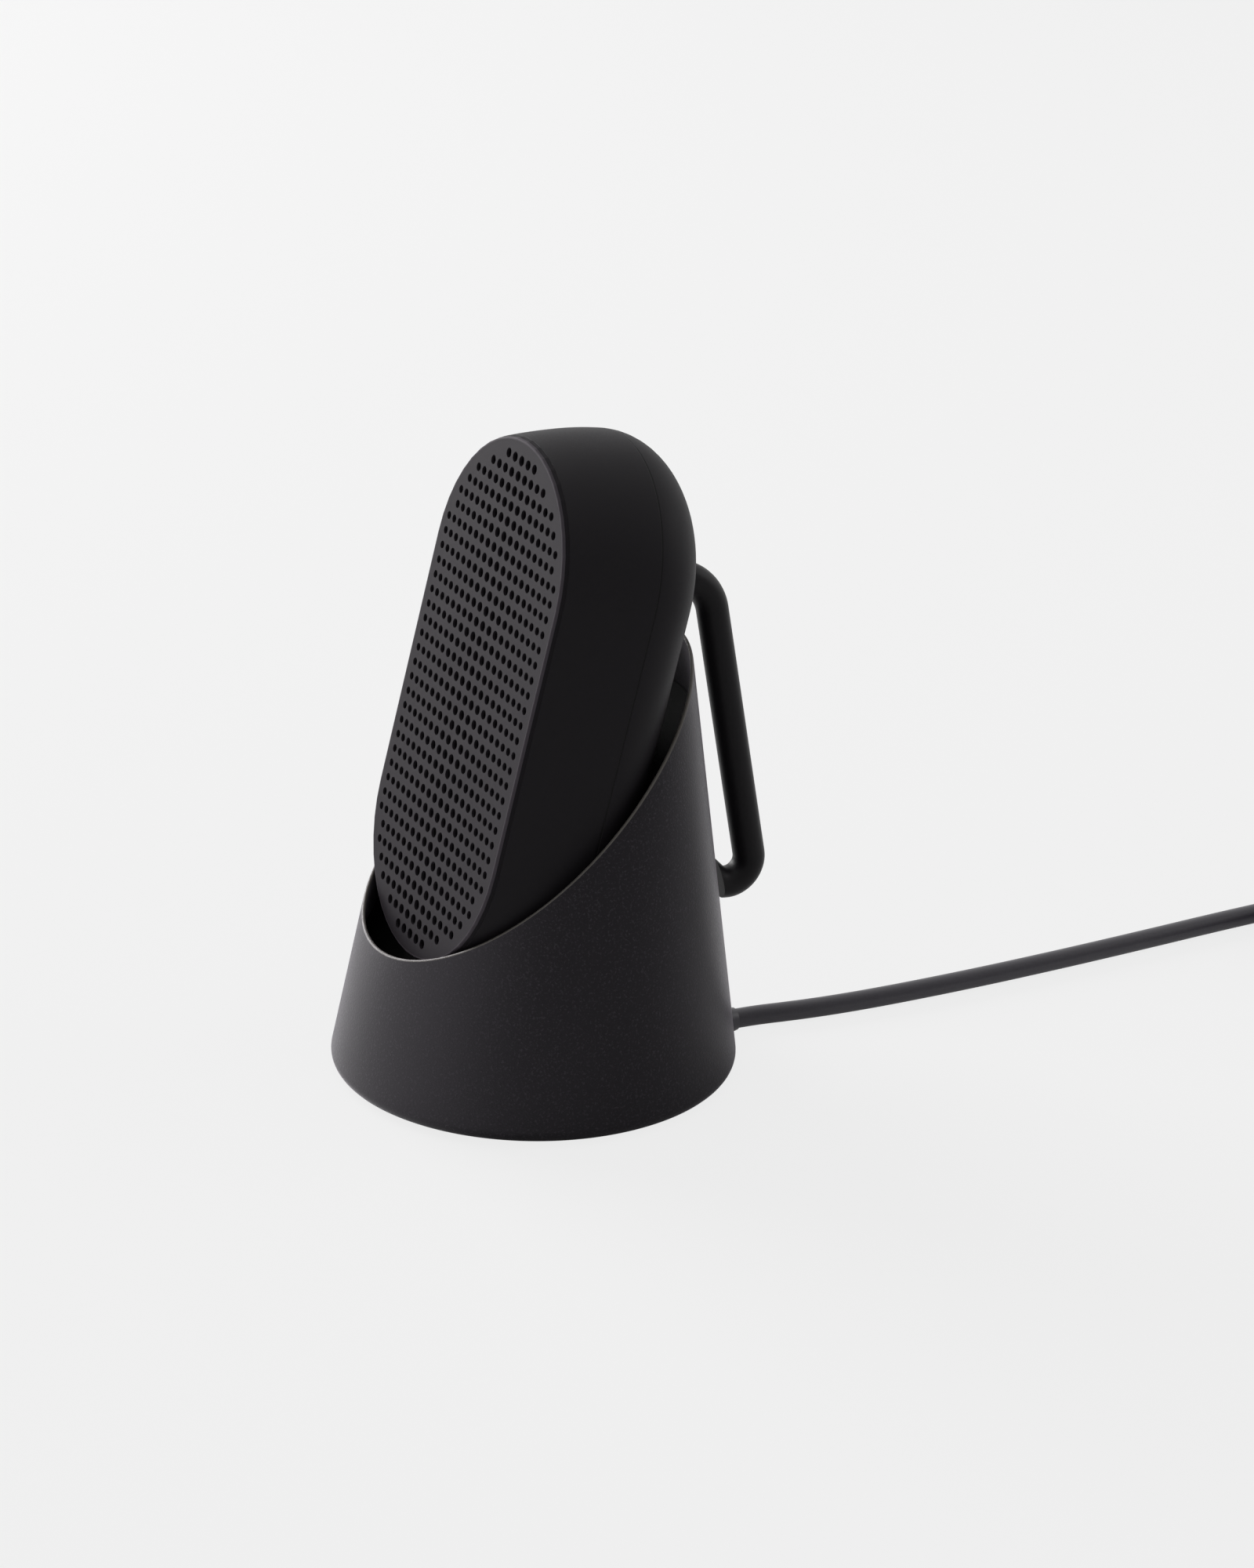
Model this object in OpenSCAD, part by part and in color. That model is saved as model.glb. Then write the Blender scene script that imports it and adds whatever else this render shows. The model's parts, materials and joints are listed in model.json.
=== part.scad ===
// Pill-shaped portable speaker with a rod hook, leaning in a slant-cut charging stand.
// Front is -Y and +Z is up. The origin is the centre of the stand's footprint on the floor.
// Inside the speaker, Y is the depth behind the face and Z runs up along the face.

/* [Speaker body] */
// Width of the flat face
face_w = 49.4; // [46:0.1:54]
// Height of the flat face
face_h = 99; // [92:0.5:106]
// Depth from the face to the back of the dome
body_depth = 33.2; // [30:0.1:38]
// Depth of the widest section, where shell and cover meet
part_depth = 19; // [17.5:0.25:21]
// Widening of each side from the face to the widest section
side_flare = 2.15; // [1.8:0.05:3.4]
// Extra rise of the round ends at the widest section
end_rise = 1.8; // [0.6:0.1:2.2]
// Curve of the widening: 1 is straight, more is rounder
flare_power = 1.6; // [1.2:0.1:2.2]
// Drawing in of the dome from the widest section to the back
dome_inset = 17.5; // [14:0.5:20]
// Wall of the shell and the cover
body_wall = 2; // [1.6:0.1:2.4]
// Gap that shows as the joint line between shell and cover
joint_gap = 0.25; // [0.15:0.05:0.5]

/* [Face grille] */
// Thickness of the face plate
grille_t = 1.2; // [0.8:0.1:1.8]
// Rounding of the face's edge
edge_round = 0.35; // [0.2:0.05:0.6]
// Number of hole rows above and below the middle row
half_rows = 16; // [12:1:17]
// Number of hole columns on each side of the middle column
half_columns = 9; // [6:1:9]
// Height between hole rows
row_pitch = 2.886; // [2.6:0.002:3]
// Step from the middle column to the next one
column_pitch = 2.752; // [2.5:0.002:2.9]
// Narrowing of each further column step
column_squeeze = 0.0588; // [0:0.0002:0.08]
// Diameter of the holes in the middle column
hole_d = 1.93; // [1.4:0.01:2.1]
// Shrinking of the holes for each further column, as a share
hole_shrink = 0.026; // [0:0.002:0.03]
// Bare border between the hole field and the face's edge
field_border = 2.19; // [1.8:0.01:3]
// Thickness of the acoustic cloth
cloth_t = 0.4; // [0.2:0.1:0.6]

/* [Driver and radiator] */
// Height of the driver above the face's middle, and of the radiator below it
driver_z = 21.5; // [21:0.1:22.5]
// Diameter of the driver's flange
driver_d = 40; // [38:0.5:41]
// Thickness of the driver's flange
flange_t = 1.2; // [1:0.1:1.4]
// Diameter of the baffle's openings
baffle_bore_d = 36; // [34:0.5:36.5]
// Thickness of the baffle plate
baffle_t = 2.5; // [2:0.1:3]
// Depth from the cloth to the baffle plate, taken by the flanges and their swing
swing_room = 3.4; // [3:0.1:3.6]
// Outer diameter of the moving cone
cone_d = 30; // [28:0.5:31]
// Diameter of the voice coil
coil_d = 14; // [12:0.5:16]
// Diameter of the magnet
magnet_d = 26; // [24:0.5:30]
// Thickness of the magnet ring
magnet_t = 4; // [3:0.5:4.5]
// Wall of the basket's tapered frame
basket_wall = 1; // [0.8:0.1:1.4]

/* [Battery and board] */
// Width of the main board
board_w = 32; // [28:0.5:32]
// Height of the main board
board_h = 78; // [70:1:80]
// Thickness of the boards
board_t = 1.6; // [1:0.1:2]
// Depth of the main board's front face
board_depth = 24.5; // [23.8:0.1:25]
// Width of the battery
battery_w = 28; // [24:0.5:30]
// Height of the battery
battery_h = 38; // [30:0.5:39]
// Thickness of the battery
battery_t = 8.5; // [6:0.5:10]

/* [Button and light] */
// Diameter of the button
button_d = 8.4; // [7:0.1:9]
// Travel of the button
button_travel = 0.6; // [0.4:0.05:0.8]
// Height of the button on the back
button_z = 4; // [0:0.5:8]
// Height that the button stands out of the back
button_proud = 0.9; // [0.8:0.05:1.2]
// Gap round the button and behind its flange
button_gap = 0.15; // [0.1:0.01:0.3]
// Diameter of the status light
light_d = 1.6; // [1.2:0.1:2]
// Distance of the status light below the button's centre
light_drop = 8; // [6.5:0.5:10]

/* [Hook] */
// Diameter of the hook's rod
rod_d = 6.2; // [5.4:0.1:7]
// Height of the hook's root on the back
root_z = 27.9; // [26:0.1:29]
// Straight length of the root outside the dome
root_len = 5.1; // [4:0.1:8]
// Centre-line radius of the upper bend
upper_bend_r = 9.6; // [8:0.1:12]
// Slope of the leg away from the face's direction, in degrees
leg_slope = 24.1; // [20:0.1:28]
// Length of the straight leg
leg_len = 51.8; // [46:0.1:56]
// Centre-line radius of the lower bend
lower_bend_r = 4.6; // [3.8:0.1:6]
// Turn of the lower bend, in degrees
lower_turn = 147; // [130:1:150]
// Distance from the leg's centre line to the flat cut end
hook_cut = 7.45; // [6.5:0.05:8.5]

/* [Pose in the stand] */
// Lean of the speaker, in degrees
speaker_lean = 13.8; // [12:0.1:16]
// Distance of the face's middle in front of the stand's axis
face_y = 14.8; // [14:0.02:16]
// Height of the face's middle above the floor
face_z = 75.6; // [74:0.02:78]

/* [Stand] */
// Diameter of the stand at the floor
stand_d = 78; // [74:0.2:84]
// Taper of the wall, in mm of radius for each mm of height
stand_taper = 0.166; // [0.15:0.002:0.19]
// Lean of the stand, in mm backwards for each mm of height
stand_lean = 0.045; // [0.02:0.001:0.08]
// Wall of the stand
stand_wall = 0.7; // [0.6:0.05:0.9]
// Height of the rim at the front
rim_front_z = 29.2; // [26:0.1:32]
// Height of the rim at the back
rim_rear_z = 83.6; // [78:0.1:88]
// Sag of the rim between front and back
rim_sag = 2.9; // [0:0.1:4]
// Rounding of the stand's lower edge
foot_round = 2.2; // [1.5:0.1:3]
// Gap between the stand's lower edge and the floor
foot_gap = 0.6; // [0.4:0.1:1]
// Height of the ledge inside the lower edge
ledge_h = 2.6; // [2:0.1:3.5]

/* [Cradle] */
// Depth of the cradle's top below the rim
cradle_drop = 12; // [9:0.5:14]
// Wall of the cradle
cradle_wall = 2; // [1.6:0.1:2.4]
// Clearance between the speaker and the cradle
seat_gap = 0.3; // [0.2:0.05:0.5]
// Height of the cradle's lower edge above the floor
cradle_z = 13; // [12:0.5:15]

/* [Stand base] */
// Thickness of the base plate
plate_t = 2; // [1.6:0.1:2.5]
// Thickness of the foot pad, which sits in a pocket under the plate
foot_h = 1.2; // [1:0.1:1.6]
// Bare edge of the base plate round the foot pad
foot_margin = 3; // [2.5:0.1:5]
// Diameter of the ballast disc
ballast_d = 50; // [44:1:52]
// Thickness of the ballast disc
ballast_t = 4; // [3:0.5:5]
// Distance of the base screws inside the stand's inner ledge
base_screw_margin = 6.6; // [6:0.1:7.5]
// Diameter of the base screws' shanks
base_screw_d = 2.6; // [2:0.1:3]
// Fit between pieces that are assembled
fit_gap = 0.2; // [0.1:0.05:0.3]

/* [Charging contacts] */
// Distance between the two contacts
contact_span = 8; // [6:0.5:10]
// Depth of the contacts behind the face
contact_depth = 13; // [11:0.5:15]
// Diameter of the contact pads
pad_d = 3.6; // [3:0.1:4.5]
// Width of the leaf springs
leaf_w = 2; // [1.5:0.1:2.6]
// Thickness of the leaf springs
leaf_t = 0.4; // [0.3:0.05:0.6]

/* [Lead] */
// Diameter of the lead
cable_d = 3.9; // [3:0.1:4.4]
// Sideways offset of the lead from the stand's middle
gland_x = 3.6; // [0:0.2:5]
// Diameter of the strain relief at the stand
gland_d = 5.6; // [5:0.1:6]
// Length of the strain relief outside the stand
gland_len = 2.8; // [2:0.1:6]
// Mean diameter of the coiled rest
coil_mean_d = 42; // [39:1:46]
// Turns lying side by side in the coil
coil_across = 3; // [1:1:4]
// Turns lying on top of each other in the coil
coil_layers = 2; // [1:1:4]
// Width of the plug's grip
plug_w = 15.6; // [14:0.2:18]
// Thickness of the plug's grip
plug_t = 7.6; // [6.5:0.1:9]
// Length of the plug's grip
plug_len = 24; // [20:1:30]

/* [Hidden] */

// Facets of a half circle on the speaker's skin
end_facets = 22;
// Facets round the stand
stand_facets = 84;
// Facets of exact round parts
$fn = 64;
// Facets of small round parts
small_fn = 24;

face_r = face_w / 2;
face_s = face_h / 2 - face_r;
hole_field_r = face_r - field_border;
cloth_d0 = grille_t;
baffle_d0 = cloth_d0 + cloth_t;
baffle_front = baffle_d0 + swing_room;
baffle_back = baffle_front + baffle_t;
cover_front = part_depth + joint_gap;
cover_inner = body_depth - body_wall;
post_d = 5;
pilot_d = 1.6;
housing_screw_d = 2;
driver_screw_d = 1.4;
screw_head_d = 3.8;
screw_head_t = 1.3;
side_post_x = face_r - 5.9;
end_post_z = face_s + face_r - 5.5;
cone_depth = 8;
top_plate_t = 1.5;
yoke_t = 1.5;
top_plate_d0 = baffle_back + 5.5;
magnet_d0 = top_plate_d0 + top_plate_t;
yoke_d0 = magnet_d0 + magnet_t;
board_back = board_depth + board_t;
board_screw_x = board_w / 2 - 3;
board_screw_z = board_h / 2 - 4;
battery_low = -board_screw_z + screw_head_d / 2 + 0.3;
switch_h = 2.4;
switch_key_h = 0.6;
root_end = body_depth + root_len;
baffle_r = skin_r(grille_t, body_wall) - fit_gap;
nut_t = 3;
nut_d = 10;
wall_slant = sqrt(1 + stand_taper * stand_taper);
cable_r = cable_d / 2;
tiny = 0.01;

// Speaker's skin: widening share, radius of the round ends and half of the straight run at a depth
function flare(d) = 1 - pow(max(0, 1 - d / part_depth), flare_power);
function dome(d, back) = d <= part_depth ? 0
    : dome_inset * (1 - sqrt(max(0, 1 - pow((d - part_depth) / (back - part_depth), 2))));
function skin_r(d, inset) = face_r + edge_round + (side_flare - edge_round) * flare(d)
    - dome(d, body_depth - inset) - inset;
function skin_s(d) = face_s + end_rise * flare(d);

// One closed outline of a pill section, counter-clockwise seen from the front
function pill_ring(d, r, s) = [for (side = [0, 1], i = [0:end_facets])
    let (a = 180 * side + 180 * i / end_facets)
    [r * cos(a), d, (side == 0 ? s : -s) + r * sin(a)]];

// Depths at which the skin is drawn, close together where it curves most
function skin_depths(d0, d1, n) = [for (i = [0:n]) d0 + (d1 - d0) * sin(90 * i / n)];
function skin_rings(depths, inset) = [for (d = depths) [d, skin_r(d, inset), skin_s(d)]];

// Solid through pill sections, each given as [depth, radius, half straight run]
module pill_loft(rings) {
    n = 2 * (end_facets + 1);
    last = len(rings) - 1;
    points = [for (g = rings) each pill_ring(g[0], g[1], g[2])];
    faces = concat(
        [[for (i = [n - 1:-1:0]) i]],
        [for (k = [0:last - 1], i = [0:n - 1])
            [k * n + i, k * n + (i + 1) % n, (k + 1) * n + (i + 1) % n, (k + 1) * n + i]],
        [[for (i = [0:n - 1]) last * n + i]]);
    polyhedron(points, faces);
}

// Straight pill-shaped plate, made of exact solids
module pill_plate(d0, t, r, s) {
    translate([0, d0 + t, 0]) rotate([90, 0, 0]) linear_extrude(t) pill_outline(r, s);
}

module pill_outline(r, s) {
    translate([0, s]) circle(r);
    translate([0, -s]) circle(r);
    translate([-r, -s]) square([2 * r, 2 * s]);
}

// Cylinder along the depth, from depth d0, at x and z on the face
module depth_rod(d, d0, t, x = 0, z = 0, facets = small_fn) {
    translate([x, d0, z]) rotate([-90, 0, 0]) cylinder(d = d, h = t, $fn = facets);
}

// Cone frustum along the depth
module depth_cone(d_front, d_back, d0, t, z = 0) {
    translate([0, d0, z]) rotate([-90, 0, 0]) cylinder(d1 = d_front, d2 = d_back, h = t);
}

// Places what it holds in the leaning speaker's own frame
module in_speaker() {
    translate([0, -face_y, face_z]) rotate([-speaker_lean, 0, 0]) children();
}

module each_housing_post() {
    for (x = [-side_post_x, side_post_x]) translate([x, 0, 0]) children();
    for (z = [-end_post_z, end_post_z]) translate([0, 0, z]) children();
}

module each_board_post() {
    for (x = [-board_screw_x, board_screw_x], z = [-board_screw_z, board_screw_z])
        translate([x, 0, z]) children();
}

module front_grille() {
    rim_depths = [for (i = [0:5]) edge_round * (1 - cos(90 * i / 5))];
    color("#4a484b") in_speaker() difference() {
        pill_loft(concat(
            [for (e = rim_depths)
                [e, face_r + sqrt(max(0, pow(edge_round, 2) - pow(edge_round - e, 2))), face_s]],
            [[grille_t, skin_r(grille_t, 0), skin_s(grille_t)]]));
        translate([0, grille_t + 1, 0]) rotate([90, 0, 0]) linear_extrude(grille_t + 2) hole_field();
    }
}

function column_x(k) = column_pitch * k - column_squeeze * k * (k + 1) / 2;

// Sound holes that fall inside a pill-shaped field
module hole_field() {
    for (row = [-half_rows:half_rows], k = [-half_columns:half_columns])
        let (x = sign(k) * column_x(abs(k)), z = row * row_pitch)
        if (norm([x, max(abs(z) - face_s, 0)]) <= hole_field_r)
            translate([x, z]) circle(d = hole_d * (1 - hole_shrink * abs(k)), $fn = 20);
}

module grille_cloth() {
    color("#0c0c0d") in_speaker() pill_plate(cloth_d0, cloth_t, baffle_r, face_s);
}

module body_shell() {
    front_r = skin_r(grille_t, body_wall);
    ledge = 1.4;
    color("#232223") in_speaker() difference() {
        pill_loft(skin_rings(skin_depths(grille_t, part_depth, 7), 0));
        pill_loft(concat(
            [[grille_t - 1, front_r, face_s], [baffle_back, front_r, face_s]],
            [[baffle_back, front_r - ledge, face_s], [baffle_back + ledge, front_r - ledge, face_s]],
            skin_rings([baffle_back + ledge, (baffle_back + part_depth) / 2 + 1, part_depth], body_wall),
            [[part_depth + 1, skin_r(part_depth, body_wall), skin_s(part_depth)]]));
        for (x = [-contact_span / 2, contact_span / 2])
            translate([x, contact_depth, -face_s - face_r - side_flare - end_rise])
                cylinder(d = pad_d, h = body_wall + side_flare + 3, $fn = small_fn);
    }
}

module rear_cover() {
    tongue_in = body_wall + fit_gap;
    color("#2f2e30") in_speaker() {
        difference() {
            union() {
                difference() {
                    pill_loft(skin_rings(
                        concat([cover_front], skin_depths(cover_front + 0.8, body_depth, 9)), 0));
                    pill_loft(concat([[cover_front - 1, skin_r(cover_front, body_wall), skin_s(cover_front)]],
                        skin_rings(skin_depths(cover_front, cover_inner, 7), body_wall)));
                }
                difference() {
                    pill_loft([for (d = [part_depth - 2.5, cover_front + 4])
                        [d, skin_r(part_depth, tongue_in) - 0.1, skin_s(part_depth)]]);
                    pill_loft([for (d = [part_depth - 3, cover_front + 5])
                        [d, skin_r(part_depth, tongue_in) - 1.3, skin_s(part_depth)]]);
                }
                each_housing_post() depth_rod(post_d, baffle_back, part_depth + 10 - baffle_back);
                each_board_post() depth_rod(post_d, board_back, cover_inner - 0.2 - board_back);
                depth_rod(rod_d + 5, cover_inner - 0.8, 1.3, 0, root_z, 48);
            }
            each_housing_post() depth_rod(pilot_d + 0.1, baffle_back - 1, 9);
            each_board_post() depth_rod(pilot_d + 0.1, board_back - 1, 4);
            depth_rod(rod_d + 0.1, cover_inner - 2, body_wall + 4, 0, root_z, 48);
            depth_rod(button_d + 2 * button_gap, cover_inner - 1, body_wall + 3, 0, button_z, 48);
            depth_rod(light_d + 0.1, cover_inner - 1, body_wall + 3, 0, button_z - light_drop);
        }
    }
}

module cover_seal() {
    color("#151515") in_speaker() difference() {
        pill_plate(part_depth, joint_gap, skin_r(part_depth, 0.7), skin_s(part_depth));
        pill_plate(part_depth - 1, joint_gap + 2, skin_r(part_depth, body_wall), skin_s(part_depth));
    }
}

module baffle() {
    color("#1b1b1c") in_speaker() difference() {
        union() {
            pill_plate(baffle_front, baffle_t, baffle_r, face_s);
            difference() {
                pill_plate(baffle_d0, swing_room, baffle_r, face_s);
                pill_plate(baffle_d0 - 1, swing_room + 2, baffle_r - 1.2, face_s);
            }
        }
        for (z = [-driver_z, driver_z])
            depth_rod(baffle_bore_d, baffle_front - 1, baffle_t + 2, 0, z, $fn);
        each_housing_post() depth_rod(housing_screw_d, baffle_front - 1, baffle_t + 2);
        translate([0, 0, driver_z]) each_driver_screw()
            depth_rod(driver_screw_d + 0.1, baffle_front - 1, baffle_t + 2);
    }
}

// Pan-head screw along the depth, its head in front of depth d0, with a cross recess
module depth_screw(d, length, d0, head_d, head_t) {
    difference() {
        union() {
            depth_rod(head_d, d0 - head_t, head_t);
            depth_rod(d, d0 - tiny, length);
        }
        for (turn = [0, 90]) rotate([0, turn, 0])
            translate([-head_d * 0.3, d0 - head_t - 1, -head_d * 0.07])
                cube([head_d * 0.6, 1 + head_t * 0.5, head_d * 0.14]);
    }
}

module housing_screws() {
    color("#8d8f92") in_speaker() each_housing_post()
        depth_screw(pilot_d, baffle_t + 6, baffle_front, screw_head_d, screw_head_t);
}

module board_screws() {
    color("#8d8f92") in_speaker() each_board_post()
        depth_screw(pilot_d, board_t + 2.4, board_depth, screw_head_d - 0.4, screw_head_t - 0.3);
}

flange_d0 = baffle_front - flange_t;
driver_screw_r = (driver_d + baffle_bore_d) / 4;

module driver_basket() {
    neck_d = magnet_d - 2;
    color("#2a2b2d") in_speaker() translate([0, 0, driver_z]) difference() {
        union() {
            depth_rod(driver_d, flange_d0, flange_t, 0, 0, $fn);
            depth_cone(baffle_bore_d - 0.4, neck_d + 2 * basket_wall, baffle_front - tiny,
                top_plate_d0 - baffle_front);
        }
        depth_cone(baffle_bore_d - 0.4 - 2 * basket_wall, neck_d, flange_d0 - tiny,
            top_plate_d0 - basket_wall - flange_d0);
        depth_rod(coil_d + 3, flange_d0, top_plate_d0, 0, 0, $fn);
        depth_rod(surround_out_d + 2.2, flange_d0 - 1, 1.5, 0, 0, $fn);
        for (i = [0:5]) rotate([0, 60 * i + 30, 0])
            translate([neck_d / 2 - 1, baffle_back + 1.6, -3.5]) cube([10, 2.6, 7]);
        each_driver_screw() depth_rod(driver_screw_d + 0.3, flange_d0 - 1, flange_t + 2);
    }
}

module each_driver_screw() {
    for (i = [0:3]) rotate([0, 90 * i + 45, 0]) translate([driver_screw_r, 0, 0]) children();
}

module driver_screws() {
    color("#8d8f92") in_speaker() translate([0, 0, driver_z]) each_driver_screw()
        depth_screw(driver_screw_d, baffle_t + 1, flange_d0, 1.9, 0.7);
}

surround_out_d = baffle_bore_d - 2;

// Half-round roll between the flange and the cone
module roll_surround(inner_d, outer_d, d0, t) {
    roll_r = (outer_d - inner_d) / 4 - 0.25;
    mid_r = (outer_d + inner_d) / 4;
    translate([0, d0, 0]) rotate([90, 0, 0]) difference() {
        union() {
            rotate_extrude() translate([mid_r, 0]) intersection() {
                circle(roll_r);
                translate([-roll_r, 0]) square([2 * roll_r, roll_r]);
            }
            translate([0, 0, -t]) cylinder(d = outer_d + 2, h = t);
        }
        rotate_extrude() translate([mid_r, -t - tiny]) circle(roll_r - t + tiny);
        translate([0, 0, -t - 1]) cylinder(d = inner_d - 1, h = t + 2);
    }
}

module driver_surround() {
    color("#141414") in_speaker() translate([0, 0, driver_z])
        roll_surround(cone_d - 3, surround_out_d, flange_d0, 0.5);
}

module driver_cone() {
    cone_t = 0.6;
    color("#1d1d1e") in_speaker() translate([0, flange_d0 + 0.5, driver_z]) rotate([-90, 0, 0])
        rotate_extrude() polygon([[coil_d / 2, cone_depth - 3], [coil_d / 2, cone_depth - 3 + cone_t],
            [cone_d / 2 - 1.5, cone_t], [cone_d / 2, cone_t], [cone_d / 2, 0], [cone_d / 2 - 2, 0]]);
}

module dust_cap() {
    cap_r = 12;
    cap_d = coil_d + 2;
    rise = cap_r - sqrt(cap_r * cap_r - cap_d * cap_d / 4);
    color("#18181a") in_speaker() translate([0, flange_d0 + cone_depth - 3.4, driver_z])
        rotate([90, 0, 0]) intersection() {
            difference() {
                translate([0, 0, rise - cap_r]) sphere(cap_r);
                translate([0, 0, rise - cap_r]) sphere(cap_r - 0.5);
            }
            cylinder(d = cap_d + 2, h = rise + 1);
        }
}

module voice_coil() {
    coil_len = magnet_d0 + 1 - (flange_d0 + cone_depth - 2);
    color("#b06a3a") in_speaker() difference() {
        depth_rod(coil_d, flange_d0 + cone_depth - 2, coil_len, 0, driver_z, $fn);
        depth_rod(coil_d - 0.8, flange_d0, coil_len + 20, 0, driver_z, $fn);
    }
}

module spider() {
    wave = 0.5;
    outer_r = magnet_d / 2 - 0.6;
    steps = 24;
    z0 = top_plate_d0 - basket_wall - 1.2;
    r0 = coil_d / 2;
    color("#c7a25a") in_speaker() translate([0, z0, driver_z]) rotate([-90, 0, 0]) rotate_extrude()
        polygon(concat(
            [for (i = [0:steps]) let (u = i / steps)
                [r0 + (outer_r - r0) * u, wave * sin(1080 * u)]],
            [for (i = [steps:-1:0]) let (u = i / steps)
                [r0 + (outer_r - r0) * u, wave * sin(1080 * u) + 0.35]]));
}

module top_plate() {
    color("#a9abad") in_speaker() difference() {
        depth_rod(magnet_d - 1, top_plate_d0, top_plate_t, 0, driver_z, $fn);
        depth_rod(coil_d + 1, top_plate_d0 - 1, top_plate_t + 2, 0, driver_z, $fn);
    }
}

module driver_magnet() {
    color("#3b3b3d") in_speaker() difference() {
        depth_rod(magnet_d, magnet_d0, magnet_t, 0, driver_z, $fn);
        depth_rod(coil_d + 4, magnet_d0 - 1, magnet_t + 2, 0, driver_z, $fn);
    }
}

module driver_yoke() {
    color("#a9abad") in_speaker() {
        depth_rod(magnet_d - 1, yoke_d0, yoke_t, 0, driver_z, $fn);
        depth_rod(coil_d - 2, top_plate_d0, yoke_d0 - top_plate_d0 + tiny, 0, driver_z, $fn);
    }
}

module radiator_surround() {
    color("#141414") in_speaker() translate([0, 0, -driver_z])
        roll_surround(cone_d, driver_d - 2, baffle_front - 0.5, 0.5);
}

module radiator_plate() {
    color("#2a2b2d") in_speaker() translate([0, 0, -driver_z]) {
        depth_rod(cone_d + 0.8, baffle_front, 1, 0, 0, $fn);
        depth_rod(cone_d / 2, baffle_front + 1 - tiny, 2, 0, 0, $fn);
    }
}

module battery() {
    round_r = battery_t / 2;
    color("#3c5a78") in_speaker() translate([0, board_depth - round_r, battery_low]) {
        translate([-battery_w / 2 + round_r, -round_r, 0])
            cube([battery_w - battery_t, battery_t, battery_h]);
        for (x = [-1, 1]) translate([x * (battery_w / 2 - round_r), 0, 0])
            cylinder(r = round_r, h = battery_h);
    }
}

module main_board() {
    corner = 6;
    chip_t = 1;
    color("#1f5b3a") in_speaker() {
        difference() {
            translate([0, board_back, 0]) rotate([90, 0, 0]) linear_extrude(board_t) {
                for (x = [-1, 1], z = [-1, 1])
                    translate([x * (board_w / 2 - corner), z * (board_h / 2 - corner)]) circle(corner);
                square([board_w - 2 * corner, board_h], center = true);
                square([board_w, board_h - 2 * corner], center = true);
            }
            each_board_post() depth_rod(pilot_d + 0.4, board_depth - 1, board_t + 2);
        }
        for (p = [[0, -14, 8], [-8, -24, 5], [8, -26, 5], [-7, 14, 4]])
            translate([p[0] - p[2] / 2, board_back - tiny, p[1] - p[2] / 2]) cube([p[2], chip_t, p[2]]);
    }
}

module key_switch() {
    color("#8d8f92") in_speaker() {
        translate([-3, board_back, button_z - 3]) cube([6, switch_h, 6]);
        depth_rod(3, board_back + switch_h - tiny, switch_key_h, 0, button_z);
    }
}

module power_button() {
    flange = 1;
    flange_d1 = cover_inner - button_gap;
    stem_d0 = board_back + switch_h + switch_key_h + button_travel + 0.1;
    dish_r = 14;
    color("#1c1c1d") in_speaker() difference() {
        union() {
            depth_rod(button_d, flange_d1 - tiny, body_depth + button_proud - flange_d1, 0, button_z, 48);
            depth_rod(button_d + 1.8, flange_d1 - flange, flange, 0, button_z, 48);
            depth_rod(3, stem_d0, flange_d1 - flange + tiny - stem_d0, 0, button_z);
        }
        translate([0, body_depth + button_proud + dish_r - 0.3, button_z]) sphere(dish_r);
    }
}

module status_light() {
    color("#d8d8d4") in_speaker()
        depth_rod(light_d, board_back, body_depth - board_back, 0, button_z - light_drop);
}

// The straight stretches reach this far into the bends and are a hair thinner, so they join cleanly
join = 0.3;
straight_d = rod_d - 0.02;

// Hook, drawn in the plane x = 0 of the speaker
module hook() {
    leg_turn = 90 - leg_slope;
    top_y = root_end;
    top_z = root_z - upper_bend_r;
    root_in = cover_inner - 0.8 - nut_t - 0.6;
    color("#242325") in_speaker() difference() {
        union() {
            depth_rod(straight_d, root_in, root_end + join - root_in, 0, root_z, 48);
            translate([0, top_y, top_z]) rotate([0, 0, 90]) rotate([90, 0, 0])
                rotate([0, 0, leg_slope]) rotate_extrude(angle = leg_turn)
                    translate([upper_bend_r, 0]) circle(d = rod_d, $fn = 48);
            translate([0, top_y, top_z]) rotate([90 - leg_turn, 0, 0]) translate([0, upper_bend_r, 0])
                hook_leg();
        }
        translate([0, top_y, top_z]) rotate([leg_slope, 0, 0])
            translate([-rod_d, upper_bend_r - hook_cut - 30, -leg_len - 30])
                cube([2 * rod_d, 30, 46]);
    }
}

// Straight leg downwards from the origin, then the lower bend and its straight end towards -Y
module hook_leg() {
    translate([0, 0, -leg_len - join]) cylinder(d = straight_d, h = leg_len + 2 * join, $fn = 48);
    translate([0, -lower_bend_r, -leg_len]) {
        rotate([0, 0, 90]) rotate([90, 0, 0]) rotate([0, 0, -lower_turn])
            rotate_extrude(angle = lower_turn) translate([lower_bend_r, 0]) circle(d = rod_d, $fn = 48);
        rotate([-lower_turn, 0, 0]) translate([0, lower_bend_r, -12])
            cylinder(d = straight_d, h = 12 + join, $fn = 48);
    }
}

module hook_nut() {
    color("#8d8f92") in_speaker() difference() {
        depth_rod(nut_d, cover_inner - 0.8 - nut_t, nut_t, 0, root_z, 6);
        depth_rod(rod_d + 0.1, cover_inner - 6, 10, 0, root_z, 48);
    }
}

// Height of the pads' outer faces below the face's middle, just inside the skin
pad_drop = skin_s(contact_depth) + sqrt(pow(skin_r(contact_depth, 0), 2) - pow(contact_span / 2, 2)) - 0.15;

module contact_pads() {
    color("#c9a54a") in_speaker() for (x = [-contact_span / 2, contact_span / 2])
        translate([x, contact_depth, -pad_drop]) cylinder(d = pad_d - 0.1, h = body_wall, $fn = small_fn);
}

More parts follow.
